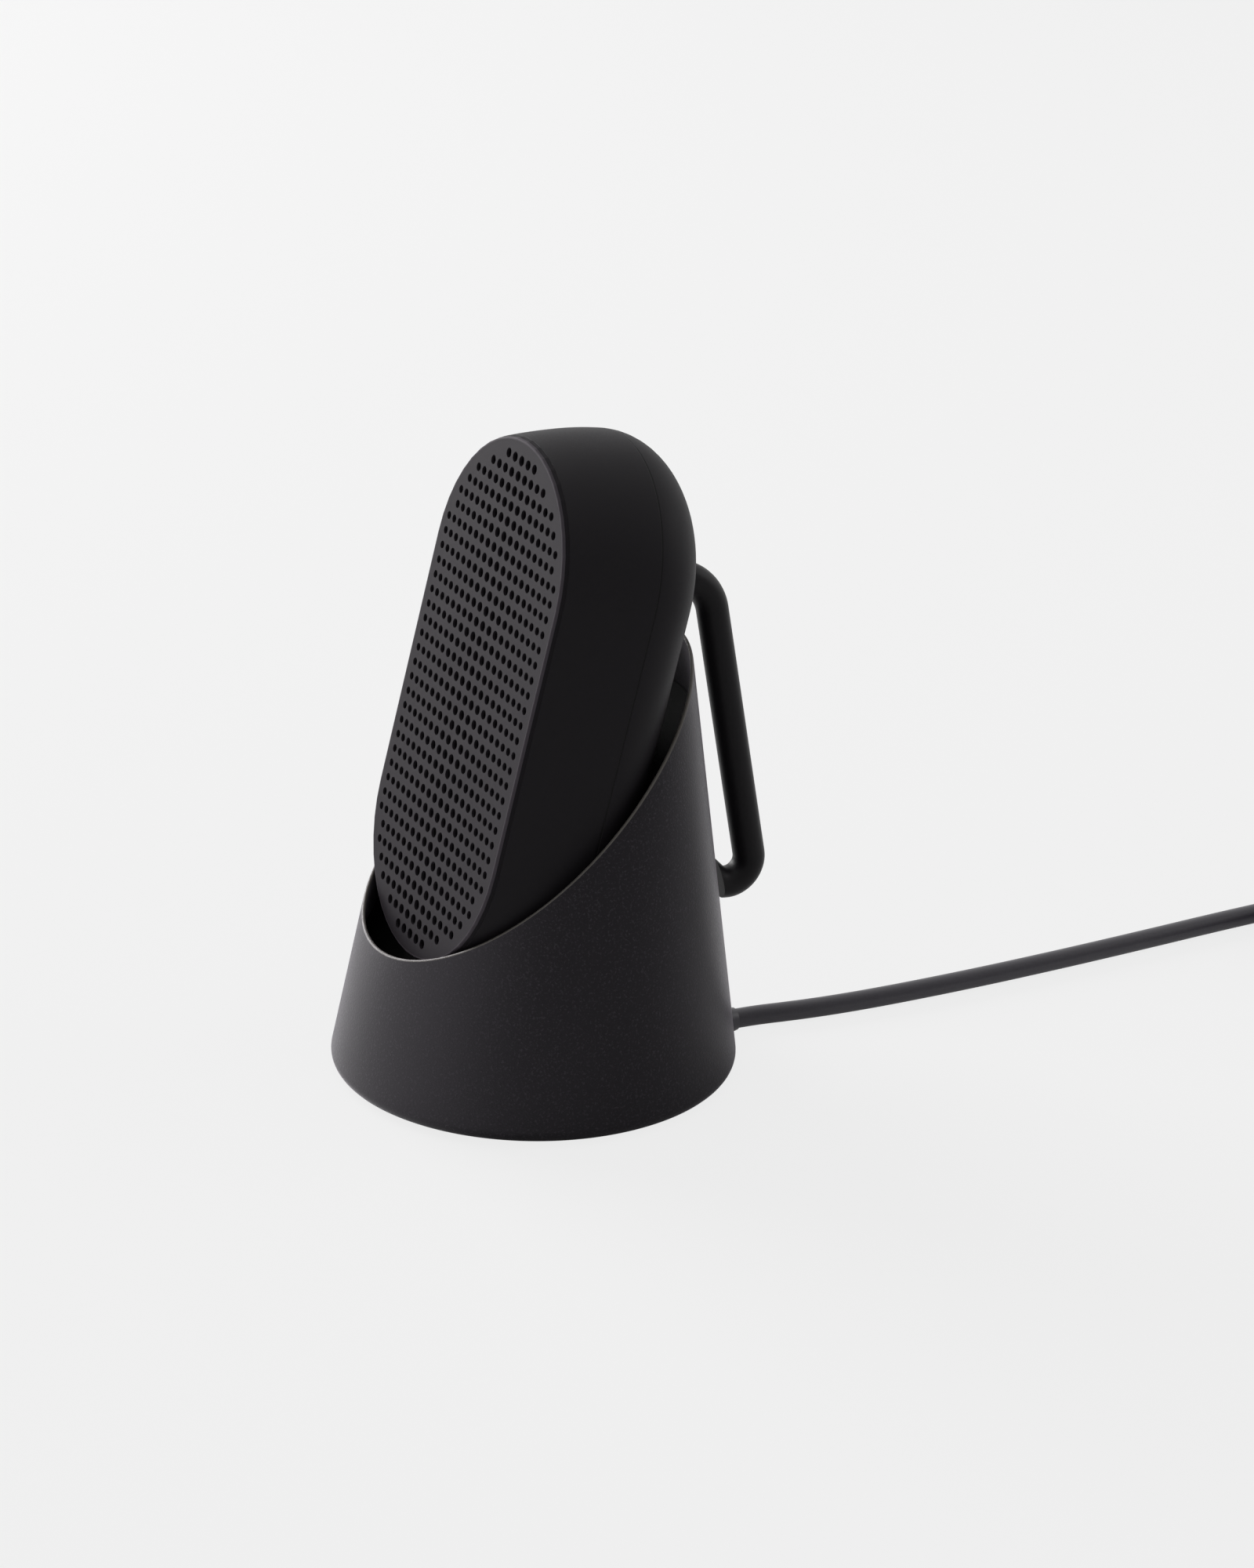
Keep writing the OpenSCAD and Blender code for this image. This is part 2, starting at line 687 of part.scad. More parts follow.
// Stand's wall: radius and centre of a level section, and the rim's height
function stand_r(z) = stand_d / 2 - stand_taper * z;
function stand_y(z) = stand_lean * z;
function rim_line(y) = let (
    y0 = stand_y(rim_front_z) - stand_r(rim_front_z),
    y1 = stand_y(rim_rear_z) + stand_r(rim_rear_z),
    u = (y - y0) / (y1 - y0))
    rim_front_z + (rim_rear_z - rim_front_z) * u - 4 * rim_sag * u * (1 - u);
function rim_z(a, z = 50, n = 9) = n == 0 ? z
    : rim_z(a, rim_line(stand_y(z) + stand_r(z) * sin(a)), n - 1);

// One level ring of the stand, or one that follows the rim at a drop below it
function level_ring(z, r) = [for (i = [0:stand_facets - 1]) let (a = 360 * i / stand_facets)
    [r * cos(a), stand_y(z) + r * sin(a), z]];
function rim_ring(inset, drop) = [for (i = [0:stand_facets - 1])
    let (a = 360 * i / stand_facets, z = rim_z(a) - drop, r = stand_r(z) - inset)
    [r * cos(a), stand_y(z) + r * sin(a), z]];

// Closed skin through rings that run round a tube-like wall and come back to the first one
module ring_skin(rings, closed) {
    n = len(rings[0]);
    m = len(rings);
    faces = concat(
        [for (k = [0:(closed ? m - 1 : m - 2)], i = [0:n - 1])
            let (p = k * n + i, q = k * n + (i + 1) % n, r = ((k + 1) % m) * n + (i + 1) % n,
                s = ((k + 1) % m) * n + i)
            each [[p, r, q], [p, s, r]]],
        closed ? [] : [[for (i = [0:n - 1]) i], [for (i = [n - 1:-1:0]) (m - 1) * n + i]]);
    polyhedron([for (g = rings) each g], faces);
}

foot_centre_z = foot_gap + foot_round;
foot_centre_r = stand_r(foot_centre_z) - foot_round * wall_slant;
ledge_r = foot_centre_r - 1.2;
ledge_top = foot_gap + ledge_h;
foot_r = ledge_r - fit_gap - foot_margin;
plate_top = foot_gap + plate_t;

module stand_shell() {
    lip_r = stand_wall / 2;
    tangent = atan(stand_taper);
    color("#3a393c") difference() {
        ring_skin(concat(
            [level_ring(foot_gap, ledge_r)],
            [for (i = [0:5]) let (a = -90 + (90 + tangent) * i / 5)
                level_ring(foot_centre_z + foot_round * sin(a), foot_centre_r + foot_round * cos(a))],
            [for (i = [0:6]) let (a = 180 * i / 6)
                rim_ring(lip_r - lip_r * cos(a), lip_r - lip_r * sin(a))],
            [level_ring(ledge_top, stand_r(ledge_top) - stand_wall), level_ring(ledge_top, ledge_r)]),
            true);
        translate([gland_x, 0, gland_z]) rotate([-90, 0, 0])
            cylinder(d = gland_d + 0.1, h = stand_d, $fn = 32);
    }
}

// Solid that fills the stand up to a flat deck below the rim
rim_front_y = stand_y(rim_front_z) - stand_r(rim_front_z);
rim_rear_y = stand_y(rim_rear_z) + stand_r(rim_rear_z);
rim_slope = (rim_rear_z - rim_front_z) / (rim_rear_y - rim_front_y);
function deck_z(a, inset, drop, z = 50, n = 9) = n == 0 ? z
    : deck_z(a, inset, drop, rim_front_z - drop
        + rim_slope * (stand_y(z) + (stand_r(z) - inset) * sin(a) - rim_front_y), n - 1);
function deck_ring(inset, drop) = [for (i = [0:stand_facets - 1])
    let (a = 360 * i / stand_facets, z = deck_z(a, inset, drop), r = stand_r(z) - inset)
    [r * cos(a), stand_y(z) + r * sin(a), z]];
module stand_core(inset, drop, z0) {
    ring_skin([level_ring(z0, stand_r(z0) - inset), deck_ring(inset, drop)], false);
}

base_screw_r = ledge_r - base_screw_margin;
post_top = cradle_z + 3;
// Length of the web that joins a screw post to the cradle's wall, short of the wall's outer face
post_web = stand_r(cradle_z) - stand_wall - fit_gap - 1.4 - base_screw_r;

module each_base_screw() {
    for (i = [0:2]) rotate(120 * i - 90) translate([base_screw_r, 0, 0]) children();
}

module cradle() {
    outer = stand_wall + fit_gap;
    color("#161617") difference() {
        union() {
            difference() {
                stand_core(outer, cradle_drop, cradle_z);
                difference() {
                    stand_core(outer + cradle_wall, cradle_drop + cradle_wall, cradle_z - 1);
                    in_speaker() seat_form(seat_gap + cradle_wall);
                }
            }
            each_base_screw() {
                translate([0, 0, plate_top])
                    cylinder(d = base_screw_d + 3.4, h = post_top - plate_top, $fn = small_fn);
                translate([0, -1, plate_top]) cube([post_web, 2, post_top - plate_top]);
            }
        }
        in_speaker() seat_form(seat_gap);
        each_base_screw() cylinder(d = base_screw_d + 0.1, h = cradle_z, $fn = small_fn);
        translate([-contact_span / 2 - 2, -22, cradle_z]) cube([contact_span + 4, 12, 12]);
    }
}

// Body's form grown by a gap, as a solid
module seat_form(gap) {
    depths = [-gap, 0, 6, 12, part_depth];
    back = [for (i = [1:6]) part_depth + (body_depth - part_depth) * sin(15 * i)];
    pill_loft(concat(
        [for (d = depths) [d, skin_r(max(d, 0), 0) + gap, skin_s(max(d, 0))]],
        [for (d = back) [d + gap * (d - part_depth) / (body_depth - part_depth),
            skin_r(d, 0) + gap + 0.15, skin_s(d)]]));
}

board_z = 8.6;
pillar_d = 5;

module each_pillar() {
    for (p = [[-9, 5], [9, 5], [0, -20]]) translate([p[0], p[1], 0]) children();
}

module stand_board() {
    color("#1f5b3a") translate([0, 0, board_z]) difference() {
        union() {
            translate([-13, -24, 0]) cube([26, 34, board_t]);
            translate([-3, -4, board_t - tiny]) cube([6, 6, 1]);
        }
        translate([0, 0, -1]) each_pillar() cylinder(d = pilot_d + 0.4, h = 4, $fn = small_fn);
    }
}

// Leaf springs: foot on the board, riser, and a bowed top that meets the pad
module contact_springs() {
    bow_r = 2;
    reach = bow_r + 0.02;
    bow_y = -face_y + contact_depth * cos(speaker_lean) - (pad_drop + reach) * sin(speaker_lean);
    bow_z = face_z - contact_depth * sin(speaker_lean) - (pad_drop + reach) * cos(speaker_lean);
    foot_len = 5;
    foot_z = board_z + board_t;
    color("#c9a54a") for (x = [-contact_span / 2, contact_span / 2])
        translate([x - leaf_w / 2, bow_y, 0]) rotate([90, 0, 90]) linear_extrude(leaf_w) {
            translate([bow_r - leaf_t, foot_z]) square([foot_len, leaf_t]);
            translate([bow_r - leaf_t, foot_z]) square([leaf_t, bow_z - foot_z + tiny]);
            translate([0, bow_z]) difference() {
                circle(bow_r, $fn = 32);
                circle(bow_r - leaf_t, $fn = 32);
                translate([-bow_r, -2 * bow_r]) square([2 * bow_r, 2 * bow_r]);
            }
        }
}

module ballast() {
    color("#6f7276") translate([0, 0, plate_top]) difference() {
        cylinder(d = ballast_d, h = ballast_t);
        translate([0, 0, -1]) each_pillar() cylinder(d = pillar_d + 0.4, h = ballast_t + 2, $fn = small_fn);
        translate([gland_x - 3, ballast_d / 2 - 10, -1]) cube([6, 12, ballast_t + 2]);
    }
}

module base_plate() {
    color("#1b1b1c") difference() {
        union() {
            translate([0, 0, foot_gap]) cylinder(r = ledge_r - fit_gap, h = plate_t);
            each_pillar() translate([0, 0, plate_top - tiny])
                cylinder(d = pillar_d, h = board_z - plate_top + tiny, $fn = small_fn);
        }
        each_pillar() translate([0, 0, plate_top]) cylinder(d = pilot_d + 0.1, h = 10, $fn = small_fn);
        cylinder(r = foot_r + 0.1, h = foot_h);
        each_base_screw() {
            cylinder(d = base_screw_d + 0.4, h = 10, $fn = small_fn);
            translate([0, 0, foot_h - tiny])
                cylinder(d1 = base_screw_d + 2.6, d2 = base_screw_d + 0.4, h = 1.1, $fn = small_fn);
        }
    }
}

// Screws that hold the board on the plate's pillars
module stand_screws() {
    color("#8d8f92") translate([0, 0, board_z + board_t]) each_pillar() difference() {
        union() {
            translate([0, 0, -5]) cylinder(d = pilot_d, h = 5 + tiny, $fn = small_fn);
            cylinder(d = screw_head_d - 0.4, h = screw_head_t - 0.3, $fn = small_fn);
        }
        for (turn = [0, 90]) rotate(turn)
            translate([-1, -0.25, 0.5]) cube([2, 0.5, 2]);
    }
}

// Screws come up through the plate's pocket, so the foot pad hides their heads
module base_screws() {
    color("#8d8f92") each_base_screw() translate([0, 0, foot_h + 0.1]) difference() {
        union() {
            cylinder(d1 = base_screw_d + 2, d2 = base_screw_d, h = 1, $fn = small_fn);
            cylinder(d = base_screw_d, h = 9, $fn = small_fn);
        }
        for (turn = [0, 90]) rotate(turn) translate([-1.1, -0.25, -1]) cube([2.2, 0.5, 1.5]);
    }
}

module foot_pad() {
    color("#111111") cylinder(r = foot_r, h = foot_h);
}

gland_z = cable_r;
gland_y = stand_y(gland_z) + stand_r(gland_z);
gland_end_y = gland_y + gland_len;

// Flat underneath, so that the lead leaves level with the floor through a notch in the lower edge
module cable_gland() {
    inner_y = ledge_r + 0.2;
    color("#151515") difference() {
        translate([gland_x, inner_y, gland_z]) rotate([-90, 0, 0]) {
            cylinder(d = gland_d, h = gland_y + 0.4 - inner_y, $fn = 32);
            translate([0, 0, gland_y + 0.4 - inner_y - tiny])
                cylinder(d1 = gland_d, d2 = cable_d + 0.5, h = gland_len - 0.4 + tiny, $fn = 32);
        }
        translate([gland_x - gland_d, inner_y - 1, -gland_d]) cube([2 * gland_d, 20, gland_d + 0.1]);
    }
}

// Lead: chosen points from the strain relief to the coil, then rounded by a smooth curve
cable_points = [[gland_x, gland_end_y, gland_z], [3.9, 46, cable_r], [4.6, 51, cable_r], [5.4, 57, cable_r],
    [6, 64, cable_r], [6.35, 72, cable_r], [6.45, 82, cable_r], [6.3, 94, cable_r], [5.8, 108, cable_r],
    [5, 123, cable_r], [4, 138, cable_r], [3, 152, cable_r], [2.3, 165, cable_r], [2, 176, cable_r]];
coil_r = coil_mean_d / 2;
coil_start = cable_points[len(cable_points) - 1];
coil_centre = [coil_start[0] + coil_r + (coil_across - 1) * cable_r, coil_start[1] + 8];
cable_sides = 8;

function curve_point(p, i, u) = let (
    n = len(p), a = p[max(i - 1, 0)], b = p[i], c = p[i + 1], d = p[min(i + 2, n - 1)])
    0.5 * ((2 * b) + (c - a) * u + (2 * a - 5 * b + 4 * c - d) * u * u
        + (3 * b - a - 3 * c + d) * u * u * u);
function curve(p, steps) = [for (i = [0:len(p) - 2], k = [0:steps - 1]) curve_point(p, i, k / steps),
    p[len(p) - 1]];
function unit(v) = v / norm(v);
function path_dir(p, i) = i == 0 ? [0, 1, 0] : i == len(p) - 1 ? [0, 1, 0] : unit(p[i + 1] - p[i - 1]);
function tube_ring(c, dir, r, sides) = let (side = unit(cross([0, 0, 1], dir)), up = cross(dir, side))
    [for (k = [0:sides - 1]) let (a = 360 * (k + 0.5) / sides) c + r * (side * cos(a) + up * sin(a))];

module charge_cable() {
    path = curve(cable_points, 3);
    color("#111112") ring_skin([for (i = [0:len(path) - 1])
        tube_ring(path[i], path_dir(path, i), cable_r, cable_sides)], false);
}

module cable_coil() {
    wide = coil_across * cable_d;
    high = coil_layers * cable_d;
    color("#111112") translate([coil_centre[0], coil_centre[1], 0]) rotate_extrude($fn = 48)
        translate([coil_r - wide / 2, 0]) square([wide, high]);
}

plug_x = coil_start[0];
plug_z = plug_t / 2;
plug_start = coil_centre[1] + 26;

// Straight stretch from the coil to the plug
module plug_lead() {
    color("#111112") translate([plug_x, coil_centre[1] + 6, plug_z]) rotate([-90, 0, 0])
        cylinder(d = cable_d, h = 20, $fn = small_fn);
}

module plug_body() {
    neck = 9;
    color("#161617") translate([plug_x, plug_start, plug_z]) {
        translate([-plug_w / 2, neck, -plug_t / 2]) cube([plug_w, plug_len, plug_t]);
        rotate([-90, 0, 0]) cylinder(d1 = cable_d + 0.8, d2 = plug_t - 0.6, h = neck + tiny, $fn = 32);
    }
}

module plug_shell() {
    shell_w = 12;
    shell_t = 4.5;
    shell_len = 12;
    wall = 0.35;
    color("#b9bbbe") translate([plug_x, plug_start + 9 + plug_len, plug_z]) difference() {
        translate([-shell_w / 2, 0, -shell_t / 2]) cube([shell_w, shell_len, shell_t]);
        translate([-shell_w / 2 + wall, -1, -shell_t / 2 + wall])
            cube([shell_w - 2 * wall, shell_len + 2, shell_t - 2 * wall]);
        for (x = [-3, 3], z = [-shell_t / 2 - 0.5, shell_t / 2 - 0.5])
            translate([x - 1, 4.5, z]) cube([2, 2.5, 1]);
    }
}

module plug_tongue() {
    color("#e4e4e0") translate([plug_x, plug_start + 9 + plug_len, plug_z])
        translate([-5.55, 0, -1.85]) cube([11.1, 11, 1.8]);
}

front_grille();
grille_cloth();
body_shell();
rear_cover();
cover_seal();
baffle();
driver_basket();
driver_cone();
driver_surround();
dust_cap();
voice_coil();
spider();
top_plate();
driver_magnet();
driver_yoke();
driver_screws();
radiator_surround();
radiator_plate();
battery();
main_board();
key_switch();
power_button();
status_light();
housing_screws();
board_screws();
hook();
hook_nut();
contact_pads();
stand_shell();
cradle();
contact_springs();
stand_board();
ballast();
base_plate();
stand_screws();
base_screws();
foot_pad();
cable_gland();
charge_cable();
cable_coil();
plug_lead();
plug_body();
plug_shell();
plug_tongue();
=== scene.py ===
import json
import math

import bmesh
import bpy
from mathutils import Matrix, Vector


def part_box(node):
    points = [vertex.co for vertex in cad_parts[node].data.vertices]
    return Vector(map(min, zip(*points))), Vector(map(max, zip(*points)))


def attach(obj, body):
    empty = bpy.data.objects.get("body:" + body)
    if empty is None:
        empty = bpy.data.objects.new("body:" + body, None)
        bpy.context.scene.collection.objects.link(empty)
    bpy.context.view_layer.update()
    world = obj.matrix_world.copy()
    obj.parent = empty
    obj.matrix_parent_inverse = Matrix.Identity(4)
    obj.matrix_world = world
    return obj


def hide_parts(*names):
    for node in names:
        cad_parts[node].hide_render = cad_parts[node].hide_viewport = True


bl_info = {
    "name": "Hook Speaker in its Stand",
    "version": (1, 0, 0),
    "blender": (4, 5, 0),
    "location": "View3D > Sidebar > Speaker",
    "description": "Dresses the packed speaker and stand with smooth skins, a lead and finishes",
    "category": "Object",
}

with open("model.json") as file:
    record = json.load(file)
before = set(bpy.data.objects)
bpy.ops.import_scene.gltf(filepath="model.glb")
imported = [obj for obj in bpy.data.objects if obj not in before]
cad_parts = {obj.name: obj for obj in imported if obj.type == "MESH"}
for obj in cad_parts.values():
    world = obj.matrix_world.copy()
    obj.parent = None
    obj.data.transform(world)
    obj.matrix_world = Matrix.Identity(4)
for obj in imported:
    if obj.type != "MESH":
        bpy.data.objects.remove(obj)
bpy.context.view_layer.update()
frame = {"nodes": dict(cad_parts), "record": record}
NODES = frame["nodes"]
SLOT_COLOURS = {m["slot"]: m["base_color"] for m in frame["record"]["materials"]}
SLOT_OF = {s["node"]: s["material_slot"] for s in frame["record"]["subparts"]}
MM = 0.001
CASE = "case"
ACROSS_TURN = Matrix.Rotation(math.pi / 2, 4, "X")


# Settings that a user can change

class SpeakerSettings(bpy.types.PropertyGroup):
    """Sizes of the speaker, in its own leaning frame"""
    face_radius: bpy.props.FloatProperty(
        name="Face end radius", description="Radius of the face's round ends",
        default=0.0247, subtype="DISTANCE")
    face_run: bpy.props.FloatProperty(
        name="Face half run", description="Half of the straight run between the round ends",
        default=0.0248, subtype="DISTANCE")
    edge_lip: bpy.props.FloatProperty(
        name="Edge lip", description="Rounding of the face's edge",
        default=0.00035, subtype="DISTANCE")
    side_flare: bpy.props.FloatProperty(
        name="Side flare", description="Widening of each side up to the joint line",
        default=0.00215, subtype="DISTANCE")
    end_rise: bpy.props.FloatProperty(
        name="End rise", description="Extra rise of the round ends at the joint line",
        default=0.0018, subtype="DISTANCE")
    flare_power: bpy.props.FloatProperty(
        name="Flare power", description="Curve of the widening", default=1.6)
    grille_depth: bpy.props.FloatProperty(
        name="Grille thickness", description="Thickness of the face plate",
        default=0.0012, subtype="DISTANCE")
    joint_depth: bpy.props.FloatProperty(
        name="Joint depth", description="Depth of the joint line behind the face",
        default=0.019, subtype="DISTANCE")
    joint_gap: bpy.props.FloatProperty(
        name="Joint gap", description="Width of the joint line",
        default=0.00025, subtype="DISTANCE")
    seal_drop: bpy.props.FloatProperty(
        name="Seal drop", description="Depth of the joint line's seal below the skin",
        default=0.00006, subtype="DISTANCE")
    seal_depth: bpy.props.FloatProperty(
        name="Seal depth", description="Depth of the seal into the joint",
        default=0.0012, subtype="DISTANCE")
    body_depth: bpy.props.FloatProperty(
        name="Body depth", description="Depth of the speaker from face to dome",
        default=0.0332, subtype="DISTANCE")
    dome_inset: bpy.props.FloatProperty(
        name="Dome inset", description="Drawing in of the dome",
        default=0.0175, subtype="DISTANCE")
    wall: bpy.props.FloatProperty(
        name="Wall", description="Wall of the housing", default=0.002, subtype="DISTANCE")
    lean: bpy.props.FloatProperty(
        name="Lean", description="Lean of the speaker in the stand",
        default=math.radians(13.8), subtype="ANGLE")
    face_place: bpy.props.FloatVectorProperty(
        name="Face place", description="Middle of the face in the part's frame",
        default=(0.0, -0.0148, 0.0756), size=3, subtype="TRANSLATION")


class HookSettings(bpy.types.PropertyGroup):
    """Sizes of the hook's rod"""
    rod: bpy.props.FloatProperty(
        name="Rod", description="Diameter of the rod", default=0.0062, subtype="DISTANCE")
    root_height: bpy.props.FloatProperty(
        name="Root height", description="Height of the root on the dome",
        default=0.0279, subtype="DISTANCE")
    root_start: bpy.props.FloatProperty(
        name="Root start", description="Depth where the rod starts inside the cover",
        default=0.0268, subtype="DISTANCE")
    root_end: bpy.props.FloatProperty(
        name="Root end", description="Depth where the upper bend starts",
        default=0.0383, subtype="DISTANCE")
    upper_radius: bpy.props.FloatProperty(
        name="Upper bend", description="Centre-line radius of the upper bend",
        default=0.0096, subtype="DISTANCE")
    leg_slope: bpy.props.FloatProperty(
        name="Leg slope", description="Slope of the leg away from the face's direction",
        default=math.radians(24.1), subtype="ANGLE")
    leg_length: bpy.props.FloatProperty(
        name="Leg", description="Straight length of the leg", default=0.0518, subtype="DISTANCE")
    lower_radius: bpy.props.FloatProperty(
        name="Lower bend", description="Centre-line radius of the lower bend",
        default=0.0046, subtype="DISTANCE")
    lower_turn: bpy.props.FloatProperty(
        name="Lower turn", description="Turn of the lower bend",
        default=math.radians(147), subtype="ANGLE")
    cut: bpy.props.FloatProperty(
        name="Cut", description="Distance from the leg's centre line to the flat cut end",
        default=0.00745, subtype="DISTANCE")


class StandSettings(bpy.types.PropertyGroup):
    """Sizes of the stand"""
    floor_radius: bpy.props.FloatProperty(
        name="Floor radius", description="Radius of the stand at the floor",
        default=0.039, subtype="DISTANCE")
    taper: bpy.props.FloatProperty(
        name="Taper", description="Radius lost for each unit of height", default=0.166)
    lean: bpy.props.FloatProperty(
        name="Lean", description="Shift backwards for each unit of height", default=0.045)
    wall: bpy.props.FloatProperty(
        name="Wall", description="Wall of the stand", default=0.0007, subtype="DISTANCE")
    rim_front: bpy.props.FloatProperty(
        name="Front rim", description="Height of the rim at the front",
        default=0.0292, subtype="DISTANCE")
    rim_rear: bpy.props.FloatProperty(
        name="Rear rim", description="Height of the rim at the back",
        default=0.0836, subtype="DISTANCE")
    rim_sag: bpy.props.FloatProperty(
        name="Rim sag", description="Sag of the rim between front and back",
        default=0.0029, subtype="DISTANCE")
    foot_gap: bpy.props.FloatProperty(
        name="Foot gap", description="Gap under the stand's lower edge",
        default=0.0006, subtype="DISTANCE")
    foot_round: bpy.props.FloatProperty(
        name="Foot rounding", description="Rounding of the lower edge",
        default=0.0022, subtype="DISTANCE")
    ledge: bpy.props.FloatProperty(
        name="Ledge", description="Height of the ledge inside the lower edge",
        default=0.0026, subtype="DISTANCE")
    colour: bpy.props.FloatVectorProperty(
        name="Coat", description="Colour of the stand's powder coat",
        default=SLOT_COLOURS["stand_coat"][:3], size=3, subtype="COLOR", min=0, max=1)


class LeadSettings(bpy.types.PropertyGroup):
    """Sizes of the lead"""
    diameter: bpy.props.FloatProperty(
        name="Lead", description="Diameter of the lead", default=0.0039, subtype="DISTANCE")
    coil_diameter: bpy.props.FloatProperty(
        name="Coil", description="Diameter of the coil at the middle of its turns",
        default=0.042, subtype="DISTANCE")
    columns: bpy.props.IntProperty(
        name="Columns", description="Turns lying side by side in the coil", default=3, min=1)


class StageSettings(bpy.types.PropertyGroup):
    """Floor, room and lamps"""
    backdrop: bpy.props.FloatProperty(
        name="Backdrop", description="Brightness of the backdrop", default=0.863)
    floor_glow: bpy.props.FloatProperty(
        name="Floor", description="Brightness of the floor before its shadow", default=0.967)
    shadow_share: bpy.props.FloatProperty(
        name="Shadow", description="Share of the floor that takes light and shadow", default=0.17)
    bright_side: bpy.props.FloatVectorProperty(
        name="Bright side", description="Side on which the room is white; the other side is dark",
        default=(-0.97, -0.25, 0.0), size=3, subtype="DIRECTION")
    key: bpy.props.FloatProperty(
        name="Key lamp", description="Power of the lamp on the left", default=13.5, unit="POWER")
    rim: bpy.props.FloatProperty(
        name="Rear lamp", description="Power of the lamp behind on the right",
        default=1.2, unit="POWER")
    top: bpy.props.FloatProperty(
        name="Top lamp", description="Power of the lamp above", default=0.5, unit="POWER")
    sky: bpy.props.FloatProperty(
        name="Room light", description="Strength of the room's even light", default=0.22)


# Helpers for the meshes

def leaning():
    """The speaker's own frame: Y is the depth behind the face, Z runs up along it."""
    s = bpy.context.scene.hook_speaker
    return Matrix.Translation(Vector(s.face_place)) @ Matrix.Rotation(-s.lean, 4, "X")


def add_piece(name, bm, place=None, sharp=math.radians(38), smooth=True):
    """Turns a bmesh into a finished object at the origin."""
    if place is not None:
        bmesh.ops.transform(bm, matrix=place, verts=bm.verts)
    mesh = bpy.data.meshes.new(name)
    for face in bm.faces:
        face.smooth = smooth
    bm.to_mesh(mesh)
    bm.free()
    if smooth:
        mesh.set_sharp_from_angle(angle=sharp)
    piece = bpy.data.objects.new(name, mesh)
    bpy.context.scene.collection.objects.link(piece)
    return piece


def dress(piece, slot_name, body=CASE, nodes=()):
    """Gives a piece its finish, its body and the CAD nodes that it stands for."""
    piece.data.materials.clear()
    piece.data.materials.append(finish(slot_name))
    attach(piece, body)
    if nodes:
        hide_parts(*nodes)


def profile(bm, points, closed=True):
    """A line of edges through points, for spinning."""
    verts = [bm.verts.new(p) for p in points]
    edges = [bm.edges.new((verts[i - 1], verts[i])) for i in range(0 if closed else 1, len(verts))]
    return verts + edges


def edges_of(geometry):
    """The edges among some elements."""
    return [g for g in geometry if isinstance(g, bmesh.types.BMEdge)]


def verts_of(geometry):
    """The vertices among some elements."""
    return [g for g in geometry if isinstance(g, bmesh.types.BMVert)]


def extrude_along(bm, edges, offset):
    """Extrudes open edges by an offset and returns the new edges."""
    made = bmesh.ops.extrude_edge_only(bm, edges=edges)["geom"]
    bmesh.ops.translate(bm, vec=Vector(offset), verts=verts_of(made))
    return edges_of_last(made)


def edges_of_last(made):
    """The far edges of an extrusion: those whose two ends are both new."""
    new = set(verts_of(made))
    return [e for e in edges_of(made) if e.verts[0] in new and e.verts[1] in new]


def pill_skin(loop, steps=40, closed=True):
    """A pill-shaped ring from a profile of (radius, depth) points, by two half spins."""
    s = bpy.context.scene.hook_speaker
    run = s.face_run
    bm = bmesh.new()
    start = profile(bm, [(r, d, run) for r, d in loop], closed)
    axis = (0, -1, 0)
    top = bmesh.ops.spin(bm, geom=start, cent=(0, 0, run), axis=axis, angle=math.pi,
                         steps=steps, use_merge=False)["geom_last"]
    left = extrude_along(bm, edges_of(top), (0, 0, -2 * run))
    foot = bmesh.ops.spin(bm, geom=left + list({v for e in left for v in e.verts}),
                          cent=(0, 0, -run), axis=axis, angle=math.pi,
                          steps=steps, use_merge=False)["geom_last"]
    extrude_along(bm, edges_of(foot), (0, 0, 2 * run))
    bmesh.ops.remove_doubles(bm, verts=bm.verts, dist=1e-6)
    for v in bm.verts:
        v.co.z += math.copysign(s.end_rise * flare(v.co.y), v.co.z)
    bmesh.ops.recalc_face_normals(bm, faces=bm.faces)
    return bm


def flare(depth):
    """Share of the side's widening that is reached at a depth."""
    s = bpy.context.scene.hook_speaker
    return 1 - max(0.0, 1 - depth / s.joint_depth) ** s.flare_power


def skin_radius(depth, inset=0.0):
    """Radius of the round ends of the skin at a depth."""
    s = bpy.context.scene.hook_speaker
    back = s.body_depth - inset
    dome = 0.0
    if depth > s.joint_depth:
        share = min(1.0, (depth - s.joint_depth) / (back - s.joint_depth))
        dome = s.dome_inset * (1 - math.sqrt(1 - share * share))
    side = s.face_radius + s.edge_lip + (s.side_flare - s.edge_lip) * flare(depth)
    return side - dome - inset


# Shader maths and finishes

class Wire:
    """A socket that takes part in Python expressions."""

    def __init__(self, tree, socket):
        self.tree = tree
        self.socket = socket

    def _op(self, kind, a, b=None):
        node = self.tree.nodes.new("ShaderNodeMath")
        node.operation = kind
        for slot, value in zip(node.inputs, (a, b)):
            if isinstance(value, Wire):
                self.tree.links.new(value.socket, slot)
            elif value is not None:
                slot.default_value = value
        return Wire(self.tree, node.outputs[0])

    def __add__(self, other):
        return self._op("ADD", self, other)

    def __radd__(self, other):
        return self._op("ADD", other, self)

    def __sub__(self, other):
        return self._op("SUBTRACT", self, other)

    def __rsub__(self, other):
        return self._op("SUBTRACT", other, self)

    def __mul__(self, other):
        return self._op("MULTIPLY", self, other)

    def __rmul__(self, other):
        return self._op("MULTIPLY", other, self)

    def __truediv__(self, other):
        return self._op("DIVIDE", self, other)

    def __pow__(self, other):
        return self._op("POWER", self, other)

    def clamp(self):
        """The value held between 0 and 1."""
        node = self.tree.nodes.new("ShaderNodeClamp")
        self.tree.links.new(self.socket, node.inputs[0])
        return Wire(self.tree, node.outputs[0])


